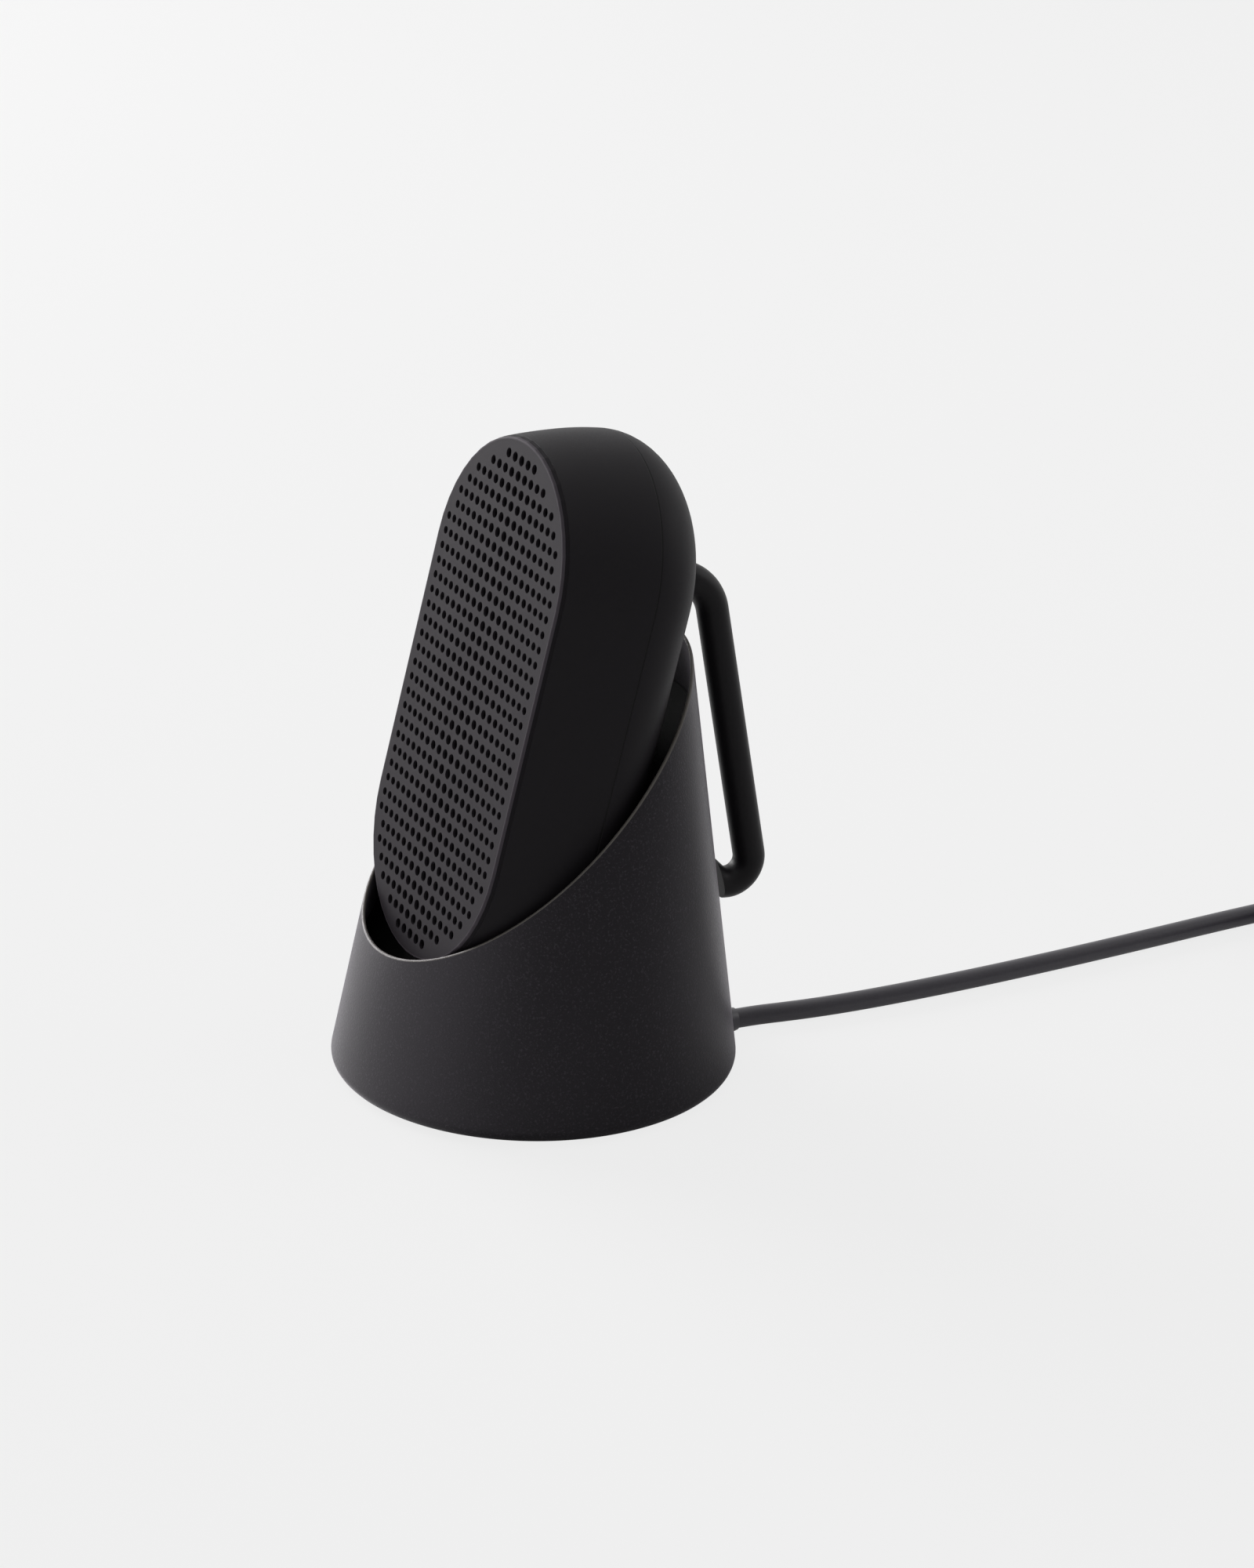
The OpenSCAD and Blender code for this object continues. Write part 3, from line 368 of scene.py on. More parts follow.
class Surface:
    """A material under construction, or the world, with one main shader."""

    def __init__(self, name, holder=None, end="ShaderNodeOutputMaterial",
                 shader="ShaderNodeBsdfPrincipled"):
        self.material = holder or bpy.data.materials.new(name)
        self.material.use_nodes = True
        self.tree = self.material.node_tree
        self.tree.nodes.clear()
        self.out = self.tree.nodes.new(end)
        self.shader = self.tree.nodes.new(shader)
        self.tree.links.new(self.shader.outputs[0], self.out.inputs["Surface"])

    def mix_shader(self, share, other):
        """Puts another shader over the main one by a share."""
        made = self.tree.nodes.new("ShaderNodeMixShader")
        for slot, source in zip(made.inputs, (share.socket, self.shader.outputs[0], other.socket)):
            self.tree.links.new(source, slot)
        self.tree.links.new(made.outputs[0], self.out.inputs["Surface"])

    def node(self, kind, settings=None, output=0, **values):
        """Adds a node: its settings first, then the values or links of its sockets."""
        made = self.tree.nodes.new(kind)
        for key, value in (settings or {}).items():
            if key == "stops":
                ramp = made.color_ramp
                for i, (place, colour) in enumerate(value):
                    stop = ramp.elements[i] if i < 2 else ramp.elements.new(place)
                    stop.position = place
                    stop.color = colour
            else:
                setattr(made, key, value)
        for key, value in values.items():
            numbered = key[0] == "i" and key[1:].isdigit()
            slot = made.inputs[int(key[1:]) if numbered else key.replace("_", " ")]
            if isinstance(value, Wire):
                self.tree.links.new(value.socket, slot)
            else:
                slot.default_value = value
        return Wire(self.tree, made.outputs[output])

    def place(self):
        """The point's place on the object, in metres."""
        return self.node("ShaderNodeTexCoord", output=3)

    def reach(self, way):
        """Distance from the middle of the speaker's face along a direction."""
        face = bpy.context.scene.hook_speaker.face_place
        along = self.node("ShaderNodeVectorMath", {"operation": "DOT_PRODUCT"}, output=1,
                          i0=self.place(), i1=way)
        return along - way.dot(face)

    def depth(self):
        """Depth behind the speaker's face."""
        lean = bpy.context.scene.hook_speaker.lean
        return self.reach(Vector((0, math.cos(lean), -math.sin(lean))))

    def from_middle(self):
        """Distance from the line that joins the centres of the face's round ends."""
        s = bpy.context.scene.hook_speaker
        across = self.reach(Vector((1, 0, 0)))
        along = self.reach(Vector((0, math.sin(s.lean), math.cos(s.lean))))
        beyond = ((along * along) ** 0.5 - s.face_run).clamp()
        return (across * across + beyond * beyond) ** 0.5

    def grain(self, size, detail=2.0, roughness=0.5, where=None):
        """Noise whose bumps are about size apart, in metres, from 0 to 1."""
        return self.node("ShaderNodeTexNoise", {"noise_dimensions": "3D"},
                         Vector=where or self.place(), Scale=1.0 / size, Detail=detail,
                         Roughness=roughness)

    def mix(self, share, first, second):
        """Mixes two colours."""
        made = self.tree.nodes.new("ShaderNodeMix")
        made.data_type = "RGBA"
        for slot, value in ((made.inputs[0], share), (made.inputs[6], first), (made.inputs[7], second)):
            if isinstance(value, Wire):
                self.tree.links.new(value.socket, slot)
            else:
                slot.default_value = (*value, 1.0)[:4] if hasattr(value, "__len__") else value
        return Wire(self.tree, made.outputs[2])

    def set(self, **values):
        """Gives the main shader's sockets their values or links."""
        for key, value in values.items():
            slot = self.shader.inputs[key.replace("_", " ")]
            if isinstance(value, Wire):
                self.tree.links.new(value.socket, slot)
            elif hasattr(value, "__len__") and len(value) == 3:
                slot.default_value = (*value, 1.0)
            else:
                slot.default_value = value

    def bump(self, height, depth):
        """Bump from a height of 0 to 1, which stands depth metres high."""
        self.set(Normal=self.node("ShaderNodeBump", {}, Height=height, Distance=depth))


def shade(colour, factor):
    """A colour made darker or lighter."""
    return tuple(min(1.0, c * factor) for c in colour[:3])


# What the finishes are made of: sizes and depths in metres, all else plain factors
CLOUD = 0.012
GLOSS_CLOUD = 0.08
COAT_CONTRAST = 1.6
COAT_GLOSS_GRAIN = 0.22
SOFT_STEP = 0.0001
# painted highlight along the face plate's edge: its width and how much paler it is
EDGE_HIGHLIGHT_WIDTH = 0.0002
EDGE_HIGHLIGHT_TONE = 2.2
PLATE_SIDE = 0.00045
POWDER_GRAIN = 0.00045
POWDER_CLOUD = 0.015
POWDER_ROUGH = 0.4
POWDER_GLOSS_GRAIN = 0.4
POWDER_GROUND = 0.7
POWDER_SPECK = 4.5
POWDER_RELIEF = 0.00004
SPECK_START = 0.55
SPECK_CONTRAST = 9
THREAD_SCALE = 900.0
THREAD_RELIEF = 0.00008
DRAWN_LINE = 0.0005
DRAWN_CLOUD = 0.006
DRAWN_GLOSS_GRAIN = 0.2
DRAWN_RELIEF = 0.00001
# colour of the painted highlight on the stand's rim lip
LIP_HIGHLIGHT_COLOUR = (0.16, 0.15, 0.13)
DUSK = (1.0, 0.93, 1.04)

# How much darker or lighter a finish is than its slot's colour, which is written without this light
GRILLE_TONE = 0.64
SHELL_TONE = 0.95
# the inner plastic is darkened further, as painted shade in the gap between speaker and stand
INNER_SHADE_TONE = 0.15
STAND_TONE = 0.18
HOOK_TONE = 0.8
LEAD_TONE = 5.5
PLUG_TONE = 2.5


def dusky(colour, factor):
    """A shade with the object's slight violet cast."""
    return tuple(c * d for c, d in zip(shade(colour, factor), DUSK))


def coat(name, colour, rough, speckle, depth, spread=0.25, specular=0.5, side_colour=None):
    """Painted or moulded surface: grain of a speckle's size in its gloss, in its colour by a spread and
    in its relief of a depth. With a side colour it is the face plate: its edge has a painted highlight,
    a paler band, and its side has that colour."""
    s = Surface(name)
    fine = s.grain(speckle, 3.0, 0.6)
    broad = s.grain(CLOUD, 2.0)
    base = s.mix((fine - 0.5) * COAT_CONTRAST + 0.5, shade(colour, 1 - spread), shade(colour, 1 + spread))
    if side_colour:
        # painted highlight: a paler band along the face plate's edge
        edge = s.from_middle() - (bpy.context.scene.hook_speaker.face_radius - EDGE_HIGHLIGHT_WIDTH)
        base = s.mix((edge / SOFT_STEP).clamp(), base, shade(colour, EDGE_HIGHLIGHT_TONE))
        base = s.mix(((s.depth() - PLATE_SIDE) / SOFT_STEP).clamp(), base, side_colour)
    s.set(Base_Color=base, Roughness=(fine - 0.5) * COAT_GLOSS_GRAIN + (broad - 0.5) * GLOSS_CLOUD + rough,
          Specular_IOR_Level=specular)
    s.bump(fine, depth)
    return s.material


def powder_finish(name, colour):
    """Powder coat on metal: bright specks, a soft glow at the edges and a paler lip that is a painted
    highlight.
    """
    s = Surface(name)
    grain = s.grain(POWDER_GRAIN, 2.0, 0.65)
    broad = s.grain(POWDER_CLOUD, 2.0)
    speck = ((grain - SPECK_START) * SPECK_CONTRAST).clamp()
    base = s.mix(speck, shade(colour, POWDER_GROUND), shade(colour, POWDER_SPECK))
    # the rim's lip is painted paler, as its highlight
    lip = s.node("ShaderNodeAttribute", {"attribute_name": "lip"}, output="Fac")
    s.set(Base_Color=s.mix(lip, base, LIP_HIGHLIGHT_COLOUR),
          Roughness=(grain - 0.5) * POWDER_GLOSS_GRAIN + (broad - 0.5) * GLOSS_CLOUD + POWDER_ROUGH,
          Specular_IOR_Level=0.55, Specular_Tint=DUSK, Sheen_Weight=0.6, Sheen_Roughness=0.26,
          Sheen_Tint=DUSK)
    s.bump(grain, POWDER_RELIEF)
    return s.material


def cloth_finish(name, colour):
    """Woven cloth with fine threads both ways."""
    s = Surface(name)
    weave = None
    for turn in (0.0, math.pi / 2):
        spun = s.node("ShaderNodeMapping", {}, Vector=s.place(), Rotation=(0.0, turn, 0.0))
        wave = s.node("ShaderNodeTexWave", {"wave_type": "BANDS", "bands_direction": "X"}, output=1,
                      Vector=spun, Scale=THREAD_SCALE, Distortion=0.4, Detail=1.0)
        weave = wave if weave is None else weave * wave
    s.set(Base_Color=s.mix(weave.clamp(), shade(colour, 0.5), shade(colour, 1.5)), Roughness=0.9)
    s.bump(weave, THREAD_RELIEF)
    return s.material


def metal_finish(name, colour, rough, direction=(1.0, 1.0, 0.08)):
    """Drawn or plated metal with fine lines."""
    s = Surface(name)
    along = s.node("ShaderNodeMapping", {}, Vector=s.place(), Scale=direction)
    lines = s.grain(DRAWN_LINE, 3.0, 0.6, along)
    broad = s.grain(DRAWN_CLOUD, 2.0)
    s.set(Base_Color=s.mix(broad, shade(colour, 0.85), shade(colour, 1.1)), Metallic=1.0,
          Roughness=(lines - 0.5) * DRAWN_GLOSS_GRAIN + rough)
    s.bump(lines, DRAWN_RELIEF)
    return s.material


_made = {}


def finish(slot_name):
    """The finish of a material slot, made once."""
    if slot_name not in _made:
        _made[slot_name] = FINISHES[slot_name](slot_name, SLOT_COLOURS[slot_name][:3])
    return _made[slot_name]


FINISHES = {
    "grille": lambda n, c: coat(
        n, dusky(c, GRILLE_TONE), rough=0.55, speckle=0.00022, depth=0.000015, spread=0.12, specular=0.1,
        side_colour=dusky(SLOT_COLOURS["shell"], SHELL_TONE)),
    "cloth": cloth_finish,
    "shell": lambda n, c: coat(
        n, dusky(c, SHELL_TONE), rough=0.56, speckle=0.0003, depth=0.00001, spread=0.12, specular=0.2),
    "seal": lambda n, c: coat(n, c, rough=0.6, speckle=0.0006, depth=0.00001, spread=0.1, specular=0.25),
    # inner plastic darkened as painted shade for the gap between speaker and stand
    "inner_plastic": lambda n, c: coat(
        n, shade(c, INNER_SHADE_TONE), rough=0.7, speckle=0.0004, depth=0.00001, specular=0.1),
    "cone": lambda n, c: coat(n, c, rough=0.6, speckle=0.0008, depth=0.00003),
    "soft_rubber": lambda n, c: coat(n, c, rough=0.6, speckle=0.0006, depth=0.00001),
    "copper": lambda n, c: metal_finish(n, c, rough=0.3, direction=(0.1, 1.0, 0.1)),
    "spider_cloth": cloth_finish,
    "steel": lambda n, c: metal_finish(n, c, rough=0.35),
    "magnet": lambda n, c: coat(n, c, rough=0.6, speckle=0.0005, depth=0.00002),
    "screw_steel": lambda n, c: metal_finish(n, c, rough=0.3),
    "battery_wrap": lambda n, c: coat(n, c, rough=0.25, speckle=0.004, depth=0.00002, spread=0.1),
    "board": lambda n, c: coat(n, c, rough=0.3, speckle=0.0012, depth=0.00001, spread=0.3),
    "button_plastic": lambda n, c: coat(
        n, dusky(c, SHELL_TONE), rough=0.42, speckle=0.0003, depth=0.00001, spread=0.12, specular=0.3),
    "light_pipe": lambda n, c: coat(n, c, rough=0.2, speckle=0.002, depth=0.000005, spread=0.05),
    "hook_coat": lambda n, c: coat(
        n, dusky(c, HOOK_TONE), rough=0.45, speckle=0.00028, depth=0.000012, spread=0.12, specular=0.28),
    "contact_gold": lambda n, c: metal_finish(n, c, rough=0.22),
    "stand_coat": lambda n, c: powder_finish(n, dusky(bpy.context.scene.hook_stand.colour, STAND_TONE)),
    "foot_rubber": lambda n, c: coat(n, c, rough=0.8, speckle=0.0006, depth=0.00002),
    "lead_rubber": lambda n, c: coat(
        n, dusky(c, LEAD_TONE), rough=0.36, speckle=0.0005, depth=0.00001, spread=0.12, specular=0.7),
    "plug_plastic": lambda n, c: coat(
        n, dusky(c, PLUG_TONE), rough=0.45, speckle=0.0004, depth=0.00001, spread=0.12, specular=0.35),
    "plug_steel": lambda n, c: metal_finish(n, c, rough=0.28),
    "plug_insert": lambda n, c: coat(n, c, rough=0.4, speckle=0.0008, depth=0.000005, spread=0.05),
}


# Operators, one for each piece or group of pieces

# The camera's place, its azimuth, elevation and roll in degrees, and its focal length and shift in
# pixels of the photograph
CAMERA_PLACE = (0.7871424, -0.3846311, 0.4142393)
CAMERA_ANGLES = (62.8669, 22.1602, 1.1402)
FOCAL_PIXELS = 6472.94
SHIFT_PIXELS = (1.5, -3.7)
PHOTO_WIDTH = 1600
SENSOR_WIDTH = 36.0


class SPEAKER_OT_camera(bpy.types.Operator):
    """Places the camera at the photograph's viewing angle"""
    bl_idname = "speaker.camera"
    bl_label = "Camera"

    def execute(self, context):
        azimuth, elevation, roll = (math.radians(a) for a in CAMERA_ANGLES)
        right = Vector((math.cos(azimuth), math.sin(azimuth), 0))
        back = Vector((math.sin(azimuth) * math.cos(elevation),
                       -math.cos(azimuth) * math.cos(elevation), math.sin(elevation)))
        up = back.cross(right)
        turned_right = right * math.cos(roll) + up * math.sin(roll)
        turned_up = up * math.cos(roll) - right * math.sin(roll)
        data = bpy.data.cameras.new("camera")
        data.sensor_fit = "HORIZONTAL"
        data.sensor_width = SENSOR_WIDTH
        data.lens = FOCAL_PIXELS * SENSOR_WIDTH / PHOTO_WIDTH
        data.shift_x, data.shift_y = (shift / PHOTO_WIDTH for shift in SHIFT_PIXELS)
        camera = bpy.data.objects.new("camera", data)
        camera.matrix_world = Matrix.Translation(CAMERA_PLACE) @ Matrix(
            (turned_right, turned_up, back)).transposed().to_4x4()
        context.scene.collection.objects.link(camera)
        context.scene.camera = camera
        return {"FINISHED"}


# Radius and height of the holes through the rear cover: rod, button and light
HOLES = ((0.00315, 0.0279), (0.0045, 0.004), (0.00085, -0.004))

# The lead's route on the floor and its height there, in millimetres, from the strain relief to the coil
LEAD_ROUTE = ((3.6, 41.49), (3.72, 43.7), (3.9, 46), (4.22, 48.5), (4.6, 51), (5.4, 57), (6, 64),
              (6.35, 72), (6.45, 82), (6.3, 94), (5.8, 108), (5, 123), (4, 138), (3, 152), (2.3, 165),
              (2.05, 172), (2, 176), (2, 180.2))
LEAD_HEIGHT = 1.95
COIL_SIDE_X = 2 * MM
COIL_Y = 184 * MM
COIL_TURN_POINTS = 24
COIL_CHANGE = 0.25

# The lead's rise from the coil to the plug: places along it in millimetres, and the share of the rise
PLUG_RISE = ((188, 0.04), (192, 0.2), (196, 0.5), (200, 0.8), (204, 0.97), (207.5, 1.0))


class SPEAKER_OT_lead(bpy.types.Operator):
    """Lays the lead from the stand to its coil and plug"""
    bl_idname = "speaker.lead"
    bl_label = "Lead"

    def execute(self, context):
        s = context.scene.hook_lead
        d = s.diameter
        r = d / 2
        radii = [s.coil_diameter / 2 + (i - (s.columns - 1) / 2) * d for i in range(s.columns)]
        centre = Vector((COIL_SIDE_X + radii[-1], COIL_Y, 0))
        points = [Vector((x, y, LEAD_HEIGHT)) * MM for x, y in LEAD_ROUTE]
        # two layers: outer to inner on the floor, inner to outer on top of it
        order = [(q, r) for q in reversed(radii)] + [(q, r + d) for q in radii]
        turns = len(order)
        for i in range(COIL_TURN_POINTS * turns + 1):
            turn = min(turns - 1, i // COIL_TURN_POINTS)
            inside = i / COIL_TURN_POINTS - turn
            q, z = order[turn]
            if turn + 1 < turns:
                step = max(0.0, min(1.0, (inside - 1 + COIL_CHANGE) / COIL_CHANGE))
                step = step * step * (3 - 2 * step)
                q += (order[turn + 1][0] - q) * step
                z += (order[turn + 1][1] - z) * step
            a = math.pi - 2 * math.pi * i / COIL_TURN_POINTS
            points.append(centre + Vector((q * math.cos(a), q * math.sin(a), z)))
        x = points[-1].x
        low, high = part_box("plug_body")
        end_z = low[2] + (high[2] - low[2]) / 2
        for y, share in PLUG_RISE:
            points.append(Vector((x, y * MM, r + d + (end_z - r - d) * share)))
        points.append(Vector((x, low[1] + 0.5 * MM, end_z)))
        curve = bpy.data.curves.new("lead", "CURVE")
        curve.dimensions = "3D"
        curve.bevel_depth = r
        curve.bevel_resolution = 5
        curve.resolution_u = 3
        curve.use_fill_caps = True
        spline = curve.splines.new("BEZIER")
        spline.bezier_points.add(len(points) - 1)
        for point, co in zip(spline.bezier_points, points):
            point.co = co
            point.handle_left_type = point.handle_right_type = "AUTO"
        lead = bpy.data.objects.new("lead", curve)
        context.scene.collection.objects.link(lead)
        dress(lead, "lead_rubber", nodes=("charge_cable", "cable_coil", "plug_lead"))
        return {"FINISHED"}


# Rounding of the shells' edges at the joint line, where the side shell's skin starts behind the face
# plate, how far its front edge is drawn in there, and the seal's gap to either shell
SOFT_EDGE = 0.00008
PLATE_GAP = 0.00004
FRONT_STEP = 0.00012
SEAL_CLEARANCE = 0.00001


class SPEAKER_OT_housing(bpy.types.Operator):
    """Makes the smooth side shell and the domed rear cover"""
    bl_idname = "speaker.housing"
    bl_label = "Housing"

    def execute(self, context):
        s = context.scene.hook_speaker
        place = leaning()
        soft = SOFT_EDGE
        joint = s.joint_depth
        front = s.grille_depth + PLATE_GAP
        depths = [front + (joint - soft - front) * math.sin(math.pi / 2 * i / 12) for i in range(13)]
        outer = [(skin_radius(front) - FRONT_STEP, s.grille_depth)]
        outer += [(skin_radius(d), d) for d in depths]
        outer += [(skin_radius(joint) - soft * (1 - math.cos(a)), joint - soft + soft * math.sin(a))
                  for a in (0.5, 1.0, math.pi / 2)]
        inner = [(skin_radius(joint) - s.wall, joint), (skin_radius(front) - s.wall, s.grille_depth)]
        dress(add_piece("side_shell", pill_skin(outer + inner), place), "shell", nodes=("body_shell",))

        start = joint + s.joint_gap
        outer = [(skin_radius(start) - soft * (1 - math.cos(a)), start + soft - soft * math.sin(a))
                 for a in (math.pi / 2, 1.0, 0.5)]
        outer += [(skin_radius(d), d) for d in
                  (joint + (s.body_depth - joint) * math.sin(math.pi / 2 * i / 26) for i in range(1, 27))
                  if d > start + soft]
        inner = s.body_depth - s.wall
        under = [(skin_radius(d, s.wall), d) for d in
                 (start + (inner - start) * math.sin(math.pi / 2 * i / 12) for i in range(12, -1, -1))]
        bm = pill_skin(under + outer, closed=False)
        self.back_plate(bm, s, inner)
        dress(add_piece("rear_dome", bm, place), "shell", nodes=("rear_cover",))

        # a hair below the skin, clear of the two shells
        flush = skin_radius(joint) - s.seal_drop
        near, far = joint + SEAL_CLEARANCE, start - SEAL_CLEARANCE
        ring = [(flush, near), (flush, far), (flush - s.seal_depth, far), (flush - s.seal_depth, near)]
        dress(add_piece("joint_seal", pill_skin(ring), place), "seal", nodes=("cover_seal",))
        return {"FINISHED"}

    @staticmethod
    def back_plate(bm, s, inner):
        """Closes the dome's flat middle round the holes for the rod, the button and the light."""
        edge = [e for e in bm.edges if e.is_boundary]
        front = [e for e in edge if e.verts[0].co.y < s.body_depth - s.wall / 2]
        back = [e for e in edge if e.verts[0].co.y > s.body_depth - s.wall / 2]
        for radius, height in HOLES:
            ring = bmesh.ops.create_circle(
                bm, radius=radius, segments=64,
                matrix=Matrix.Translation((0, s.body_depth, height)) @ ACROSS_TURN)
            edges = list({e for v in ring["verts"] for e in v.link_edges})
            back += edges
            front += extrude_along(bm, edges, (0, -s.wall, 0))
        bmesh.ops.triangle_fill(bm, use_beauty=True, edges=back, normal=(0, 1, 0))
        bmesh.ops.triangle_fill(bm, use_beauty=True, edges=front, normal=(0, -1, 0))
        bmesh.ops.recalc_face_normals(bm, faces=bm.faces)


# The hook's straight end before its cut, and how far above the lower bend the cut reaches
HOOK_END = 0.012
CUT_REACH = 0.016


class SPEAKER_OT_hook(bpy.types.Operator):
    """Bends the hook from round rod"""
    bl_idname = "speaker.hook"
    bl_label = "Hook"

    def execute(self, context):
        s = context.scene.hook_rod
        bm = bmesh.new()
        ring = bmesh.ops.create_circle(
            bm, cap_ends=True, radius=s.rod / 2, segments=36,
            matrix=Matrix.Translation((0, s.root_start, s.root_height)) @ ACROSS_TURN)
        edges = list({e for v in ring["verts"] for e in v.link_edges})
        edges = extrude_along(bm, edges, (0, s.root_end - s.root_start, 0))
        bend = Vector((0, s.root_end, s.root_height - s.upper_radius))
        turn = math.pi / 2 - s.leg_slope
        edges = self.bend(bm, edges, bend, -turn, 16)
        away = Vector((0, math.sin(s.leg_slope), -math.cos(s.leg_slope)))
        across = Vector((0, -math.cos(s.leg_slope), -math.sin(s.leg_slope)))
        for _ in range(6):
            edges = extrude_along(bm, edges, away * (s.leg_length / 6))
        leg_end = bend - across * s.upper_radius + away * s.leg_length
        edges = self.bend(bm, edges, leg_end + across * s.lower_radius, -s.lower_turn, 26)
        out = Matrix.Rotation(-s.lower_turn, 3, "X") @ away
        edges = extrude_along(bm, edges, out * HOOK_END)
        bmesh.ops.contextual_create(bm, geom=edges)
        low = {v for v in bm.verts if (v.co - leg_end).dot(away) > -CUT_REACH}
        part = [g for g in bm.edges[:] + bm.faces[:] if low.issuperset(g.verts)]
        cut = bmesh.ops.bisect_plane(bm, geom=list(low) + part, plane_co=leg_end + across * s.cut,
                                     plane_no=across, clear_outer=True)
        rim = [e for e in edges_of(cut["geom_cut"]) if e.is_valid]
        bmesh.ops.contextual_create(bm, geom=rim)
        bmesh.ops.recalc_face_normals(bm, faces=bm.faces)
        dress(add_piece("hook_rod", bm, leaning(), math.radians(50)), "hook_coat", nodes=("hook",))
        return {"FINISHED"}

    @staticmethod
    def bend(bm, edges, centre, angle, steps):
        """Turns the rod's open end round a centre and returns its new edges."""
        verts = list({v for e in edges for v in e.verts})
        made = bmesh.ops.spin(bm, geom=edges + verts, cent=centre, axis=(1, 0, 0), angle=angle,
                              steps=steps, use_merge=False)
        return edges_of(made["geom_last"])


# Height that the rim's points have while the profile is spun, before they go to their real place
RIM_MARK = 10.0
LEDGE_WIDTH = 0.0012
WALL_KNOTS = (0.006, 0.016)
STAND_STEPS = 160


class SPEAKER_OT_stand(bpy.types.Operator):
    """Turns the stand's wall and cuts its slanted rim"""
    bl_idname = "speaker.stand"
    bl_label = "Stand"

    def execute(self, context):
        s = context.scene.hook_stand
        foot_z = s.foot_gap + s.foot_round
        tangent = math.atan(s.taper)
        foot_inset = s.foot_round / math.cos(tangent)
        ledge = self.radius(foot_z) - foot_inset - LEDGE_WIDTH
        loop = [(self.radius(s.foot_gap) - ledge, s.foot_gap)]
        for i in range(9):
            a = -math.pi / 2 + (math.pi / 2 + tangent) * i / 8
            z = foot_z + s.foot_round * math.sin(a)
            loop.append((self.radius(z) - (self.radius(foot_z) - foot_inset + s.foot_round * math.cos(a)),
                         z))
        lip = s.wall / 2
        loop += [(0.0, z) for z in WALL_KNOTS]
        turns = [math.pi * i / 10 for i in range(11)]
        loop += [(lip - lip * math.cos(a), RIM_MARK - (lip - lip * math.sin(a))) for a in turns]
        top = s.foot_gap + s.ledge
        loop += [(s.wall, top), (self.radius(top) - ledge, top)]
        bm = bmesh.new()
        start = profile(bm, [(1 - inset, 0, z) for inset, z in loop])
        bmesh.ops.spin(bm, geom=start, cent=(0, 0, 0), axis=(0, 0, 1), angle=2 * math.pi,
                       steps=STAND_STEPS, use_merge=True)
        bmesh.ops.remove_doubles(bm, verts=bm.verts, dist=1e-6)
        # marks the rim's lip, which the stand's finish paints paler as its highlight
        lip_mark = bm.verts.layers.float.new("lip")
        for v in bm.verts:
            v[lip_mark] = 1.0 if v.co.z > RIM_MARK - 0.9 * lip else 0.0
            a = math.atan2(v.co.y, v.co.x)
            inset = 1 - math.hypot(v.co.x, v.co.y)
            z = v.co.z
            if z > 1:
                z = self.rim(a) - (RIM_MARK - z)
            r = self.radius(z) - inset
            v.co = Vector((r * math.cos(a), s.lean * z + r * math.sin(a), z))
        bmesh.ops.recalc_face_normals(bm, faces=bm.faces)
        dress(add_piece("stand_wall", bm, None, math.radians(50)), "stand_coat", nodes=("stand_shell",))
        return {"FINISHED"}

    @staticmethod
    def radius(z):
        """Outer radius at a height."""
        s = bpy.context.scene.hook_stand
        return s.floor_radius - s.taper * z

    def rim(self, a):
        """Height of the rim at an azimuth."""
        s = bpy.context.scene.hook_stand
        front = s.lean * s.rim_front - self.radius(s.rim_front)
        rear = s.lean * s.rim_rear + self.radius(s.rim_rear)
        z = 0.05
        for _ in range(12):
            u = (s.lean * z + self.radius(z) * math.sin(a) - front) / (rear - front)
            z = s.rim_front + (s.rim_rear - s.rim_front) * u - 4 * s.rim_sag * u * (1 - u)
        return z


class SPEAKER_OT_finishes(bpy.types.Operator):
    """Gives every carried-over piece of the frame its finish"""
    bl_idname = "speaker.finishes"
    bl_label = "Finishes"

    def execute(self, context):
        for name, piece in NODES.items():
            piece.data.materials.clear()
            piece.data.materials.append(finish(SLOT_OF[name]))
        return {"FINISHED"}


# Each lamp's place, its side in metres and the setting with its power
LAMPS = {
    "key": ((-1.16, -0.42, 0.45), 0.9, "key"),
    "rear": ((0.25, 1.15, 0.55), 0.6, "rim"),
    "top": ((0.1, -0.1, 1.3), 0.8, "top"),
}
LAMP_TARGET = (0, 0, 0.06)
FLOOR_HALF = 6.0

# Where the room turns from dark to white for gloss: cosines from its bright side's direction
DARK_FROM = -0.8
WHITE_FROM = 0.4


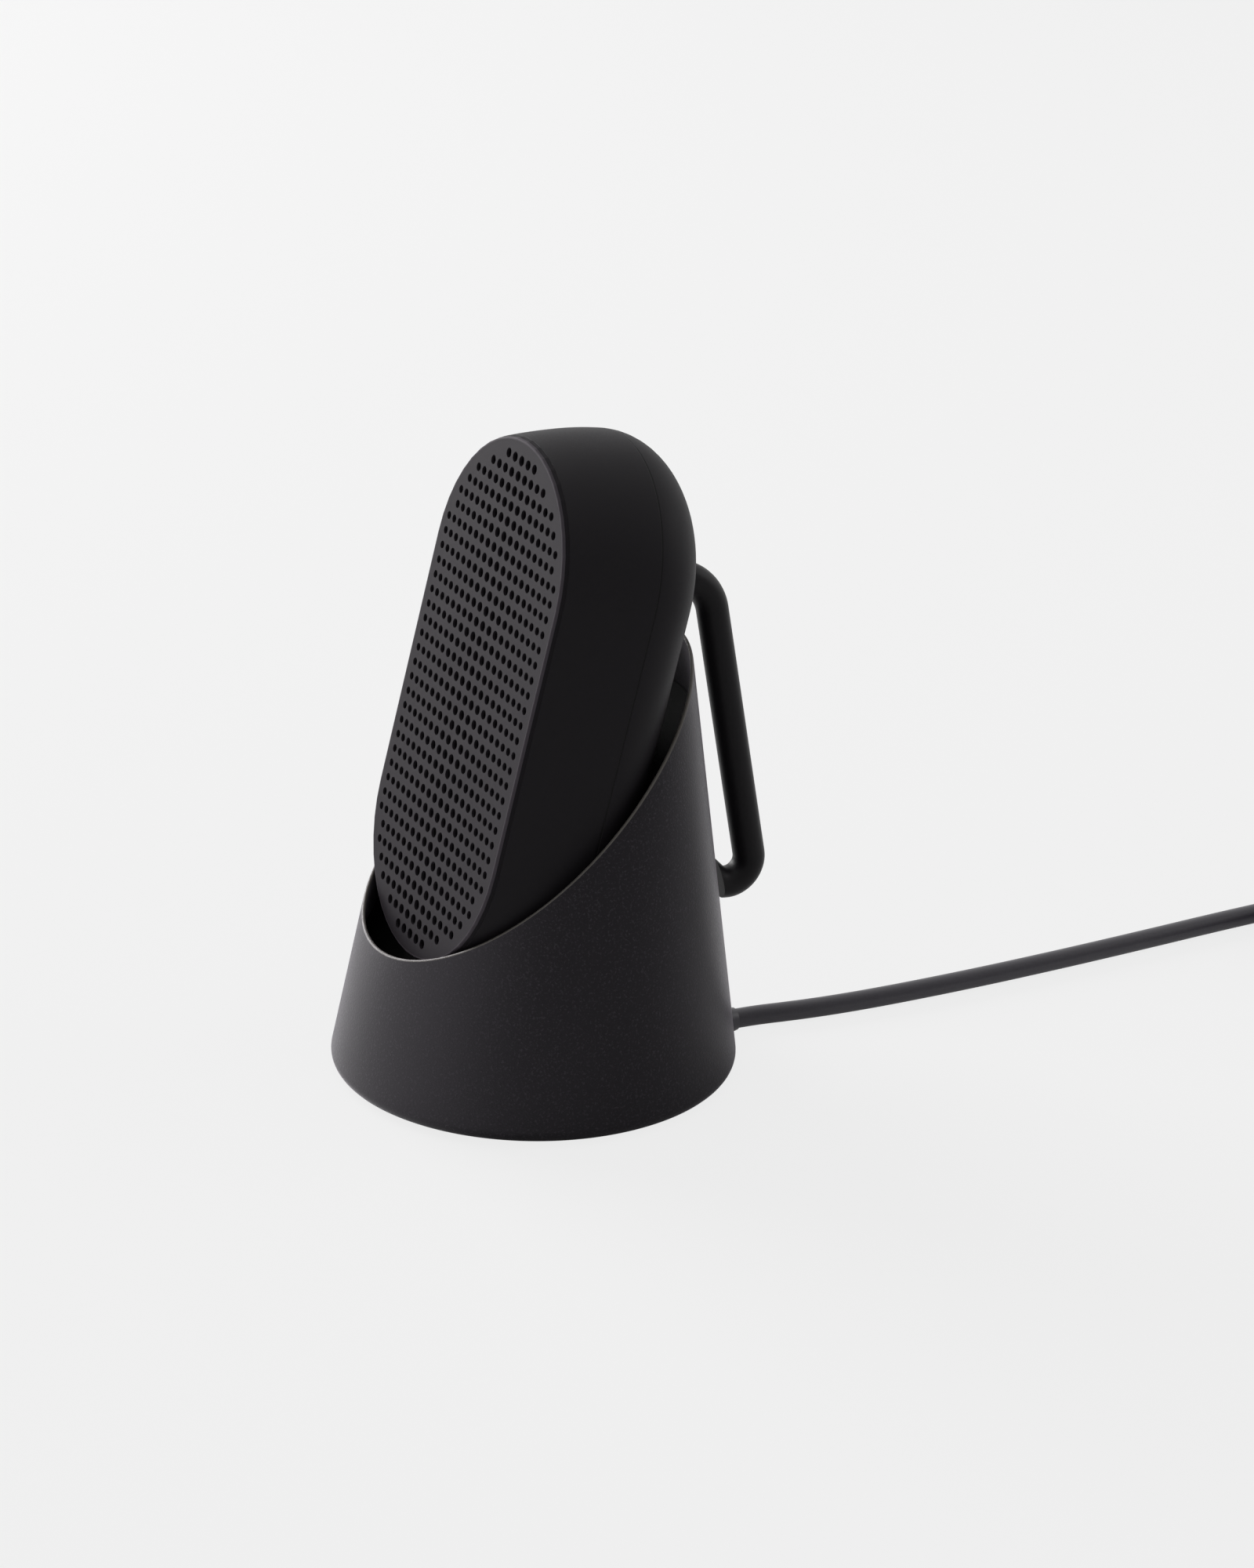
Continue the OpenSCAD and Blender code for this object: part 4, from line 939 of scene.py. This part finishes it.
class SPEAKER_OT_stage(bpy.types.Operator):
    """Makes the pale floor, the room and the lamps"""
    bl_idname = "speaker.stage"
    bl_label = "Stage"

    def execute(self, context):
        s = context.scene.hook_stage
        bm = bmesh.new()
        bmesh.ops.create_grid(bm, x_segments=1, y_segments=1, size=FLOOR_HALF)
        floor = add_piece("floor", bm, smooth=False)
        floor.data.materials.append(self.floor_finish(s))
        self.room(context, s)
        for name, (place, size, setting) in LAMPS.items():
            self.lamp(name, Vector(place), size, getattr(s, setting))
        context.scene.view_settings.view_transform = "Standard"
        return {"FINISHED"}

    @staticmethod
    def seen(s, way, settings):
        """How much of the backdrop a ray shows: all of it from the camera, and by gloss or glass its
        white side only."""
        way = s.node("ShaderNodeVectorMath", {"operation": "NORMALIZE"}, i0=way)
        side = s.node("ShaderNodeVectorMath", {"operation": "DOT_PRODUCT"}, output=1, i0=way,
                      i1=settings.bright_side)
        share = ((side - DARK_FROM) / (WHITE_FROM - DARK_FROM)).clamp()
        camera, glossy, through = (s.node("ShaderNodeLightPath", output=name)
                                   for name in ("Is Camera Ray", "Is Glossy Ray", "Is Transmission Ray"))
        return (camera + (glossy + through) * share * share * (3 - 2 * share)).clamp()

    def floor_finish(self, settings):
        """Pale floor that takes the object's shadow and shines a little by itself."""
        s = Surface("floor")
        s.set(Base_Color=(0.8, 0.8, 0.8), Roughness=0.9, Specular_IOR_Level=0.1)
        glow = s.node("ShaderNodeEmission", Color=(*[settings.floor_glow] * 3, 1))
        s.mix_shader(self.seen(s, s.place(), settings) * (1 - settings.shadow_share), glow)
        return s.material

    def room(self, context, settings):
        """The world: even light, with the backdrop where it is seen."""
        world = bpy.data.worlds.new("room")
        context.scene.world = world
        s = Surface("room", world, "ShaderNodeOutputWorld", "ShaderNodeBackground")
        s.shader.inputs["Color"].default_value = (1, 1, 1, 1)
        s.shader.inputs["Strength"].default_value = settings.sky
        shown = s.node("ShaderNodeBackground", Color=(*[settings.backdrop] * 3, 1))
        s.mix_shader(self.seen(s, s.node("ShaderNodeTexCoord", output=0), settings), shown)

    @staticmethod
    def lamp(name, place, size, power):
        """A soft square lamp that faces the object."""
        data = bpy.data.lights.new(name, "AREA")
        data.shape = "SQUARE"
        data.size = size
        data.energy = power
        lamp = bpy.data.objects.new(name, data)
        facing = (place - Vector(LAMP_TARGET)).to_track_quat("Z", "Y").to_matrix().to_4x4()
        lamp.matrix_world = Matrix.Translation(place) @ facing
        bpy.context.scene.collection.objects.link(lamp)


class SPEAKER_PT_panel(bpy.types.Panel):
    """Lists the speaker's pieces"""
    bl_idname = "SPEAKER_PT_panel"
    bl_label = "Hook Speaker"
    bl_space_type = "VIEW_3D"
    bl_region_type = "UI"
    bl_category = "Speaker"

    def draw(self, context):
        layout = self.layout
        for group in GROUPS:
            box = layout.box()
            settings = getattr(context.scene, group)
            for key in settings.__annotations__:
                box.prop(settings, key)
        for step in STEPS:
            layout.operator(step.bl_idname)


GROUPS = {
    "hook_speaker": SpeakerSettings,
    "hook_rod": HookSettings,
    "hook_stand": StandSettings,
    "hook_lead": LeadSettings,
    "hook_stage": StageSettings,
}
STEPS = (SPEAKER_OT_camera, SPEAKER_OT_lead, SPEAKER_OT_finishes, SPEAKER_OT_housing, SPEAKER_OT_hook,
         SPEAKER_OT_stand, SPEAKER_OT_stage)


def register():
    """Registers the add-on's classes and hangs its settings on the scene."""
    for cls in (*GROUPS.values(), *STEPS, SPEAKER_PT_panel):
        bpy.utils.register_class(cls)
    for name, cls in GROUPS.items():
        setattr(bpy.types.Scene, name, bpy.props.PointerProperty(type=cls))


def unregister():
    """Takes the settings and the classes out again."""
    for name in GROUPS:
        delattr(bpy.types.Scene, name)
    for cls in reversed((*GROUPS.values(), *STEPS, SPEAKER_PT_panel)):
        bpy.utils.unregister_class(cls)


def main():
    """Runs every step."""
    register()
    for step in STEPS:
        area, name = step.bl_idname.split(".")
        if getattr(getattr(bpy.ops, area), name)() != {"FINISHED"}:
            raise RuntimeError(step.bl_idname + " didn't finish")


if __name__ == "__main__":
    main()
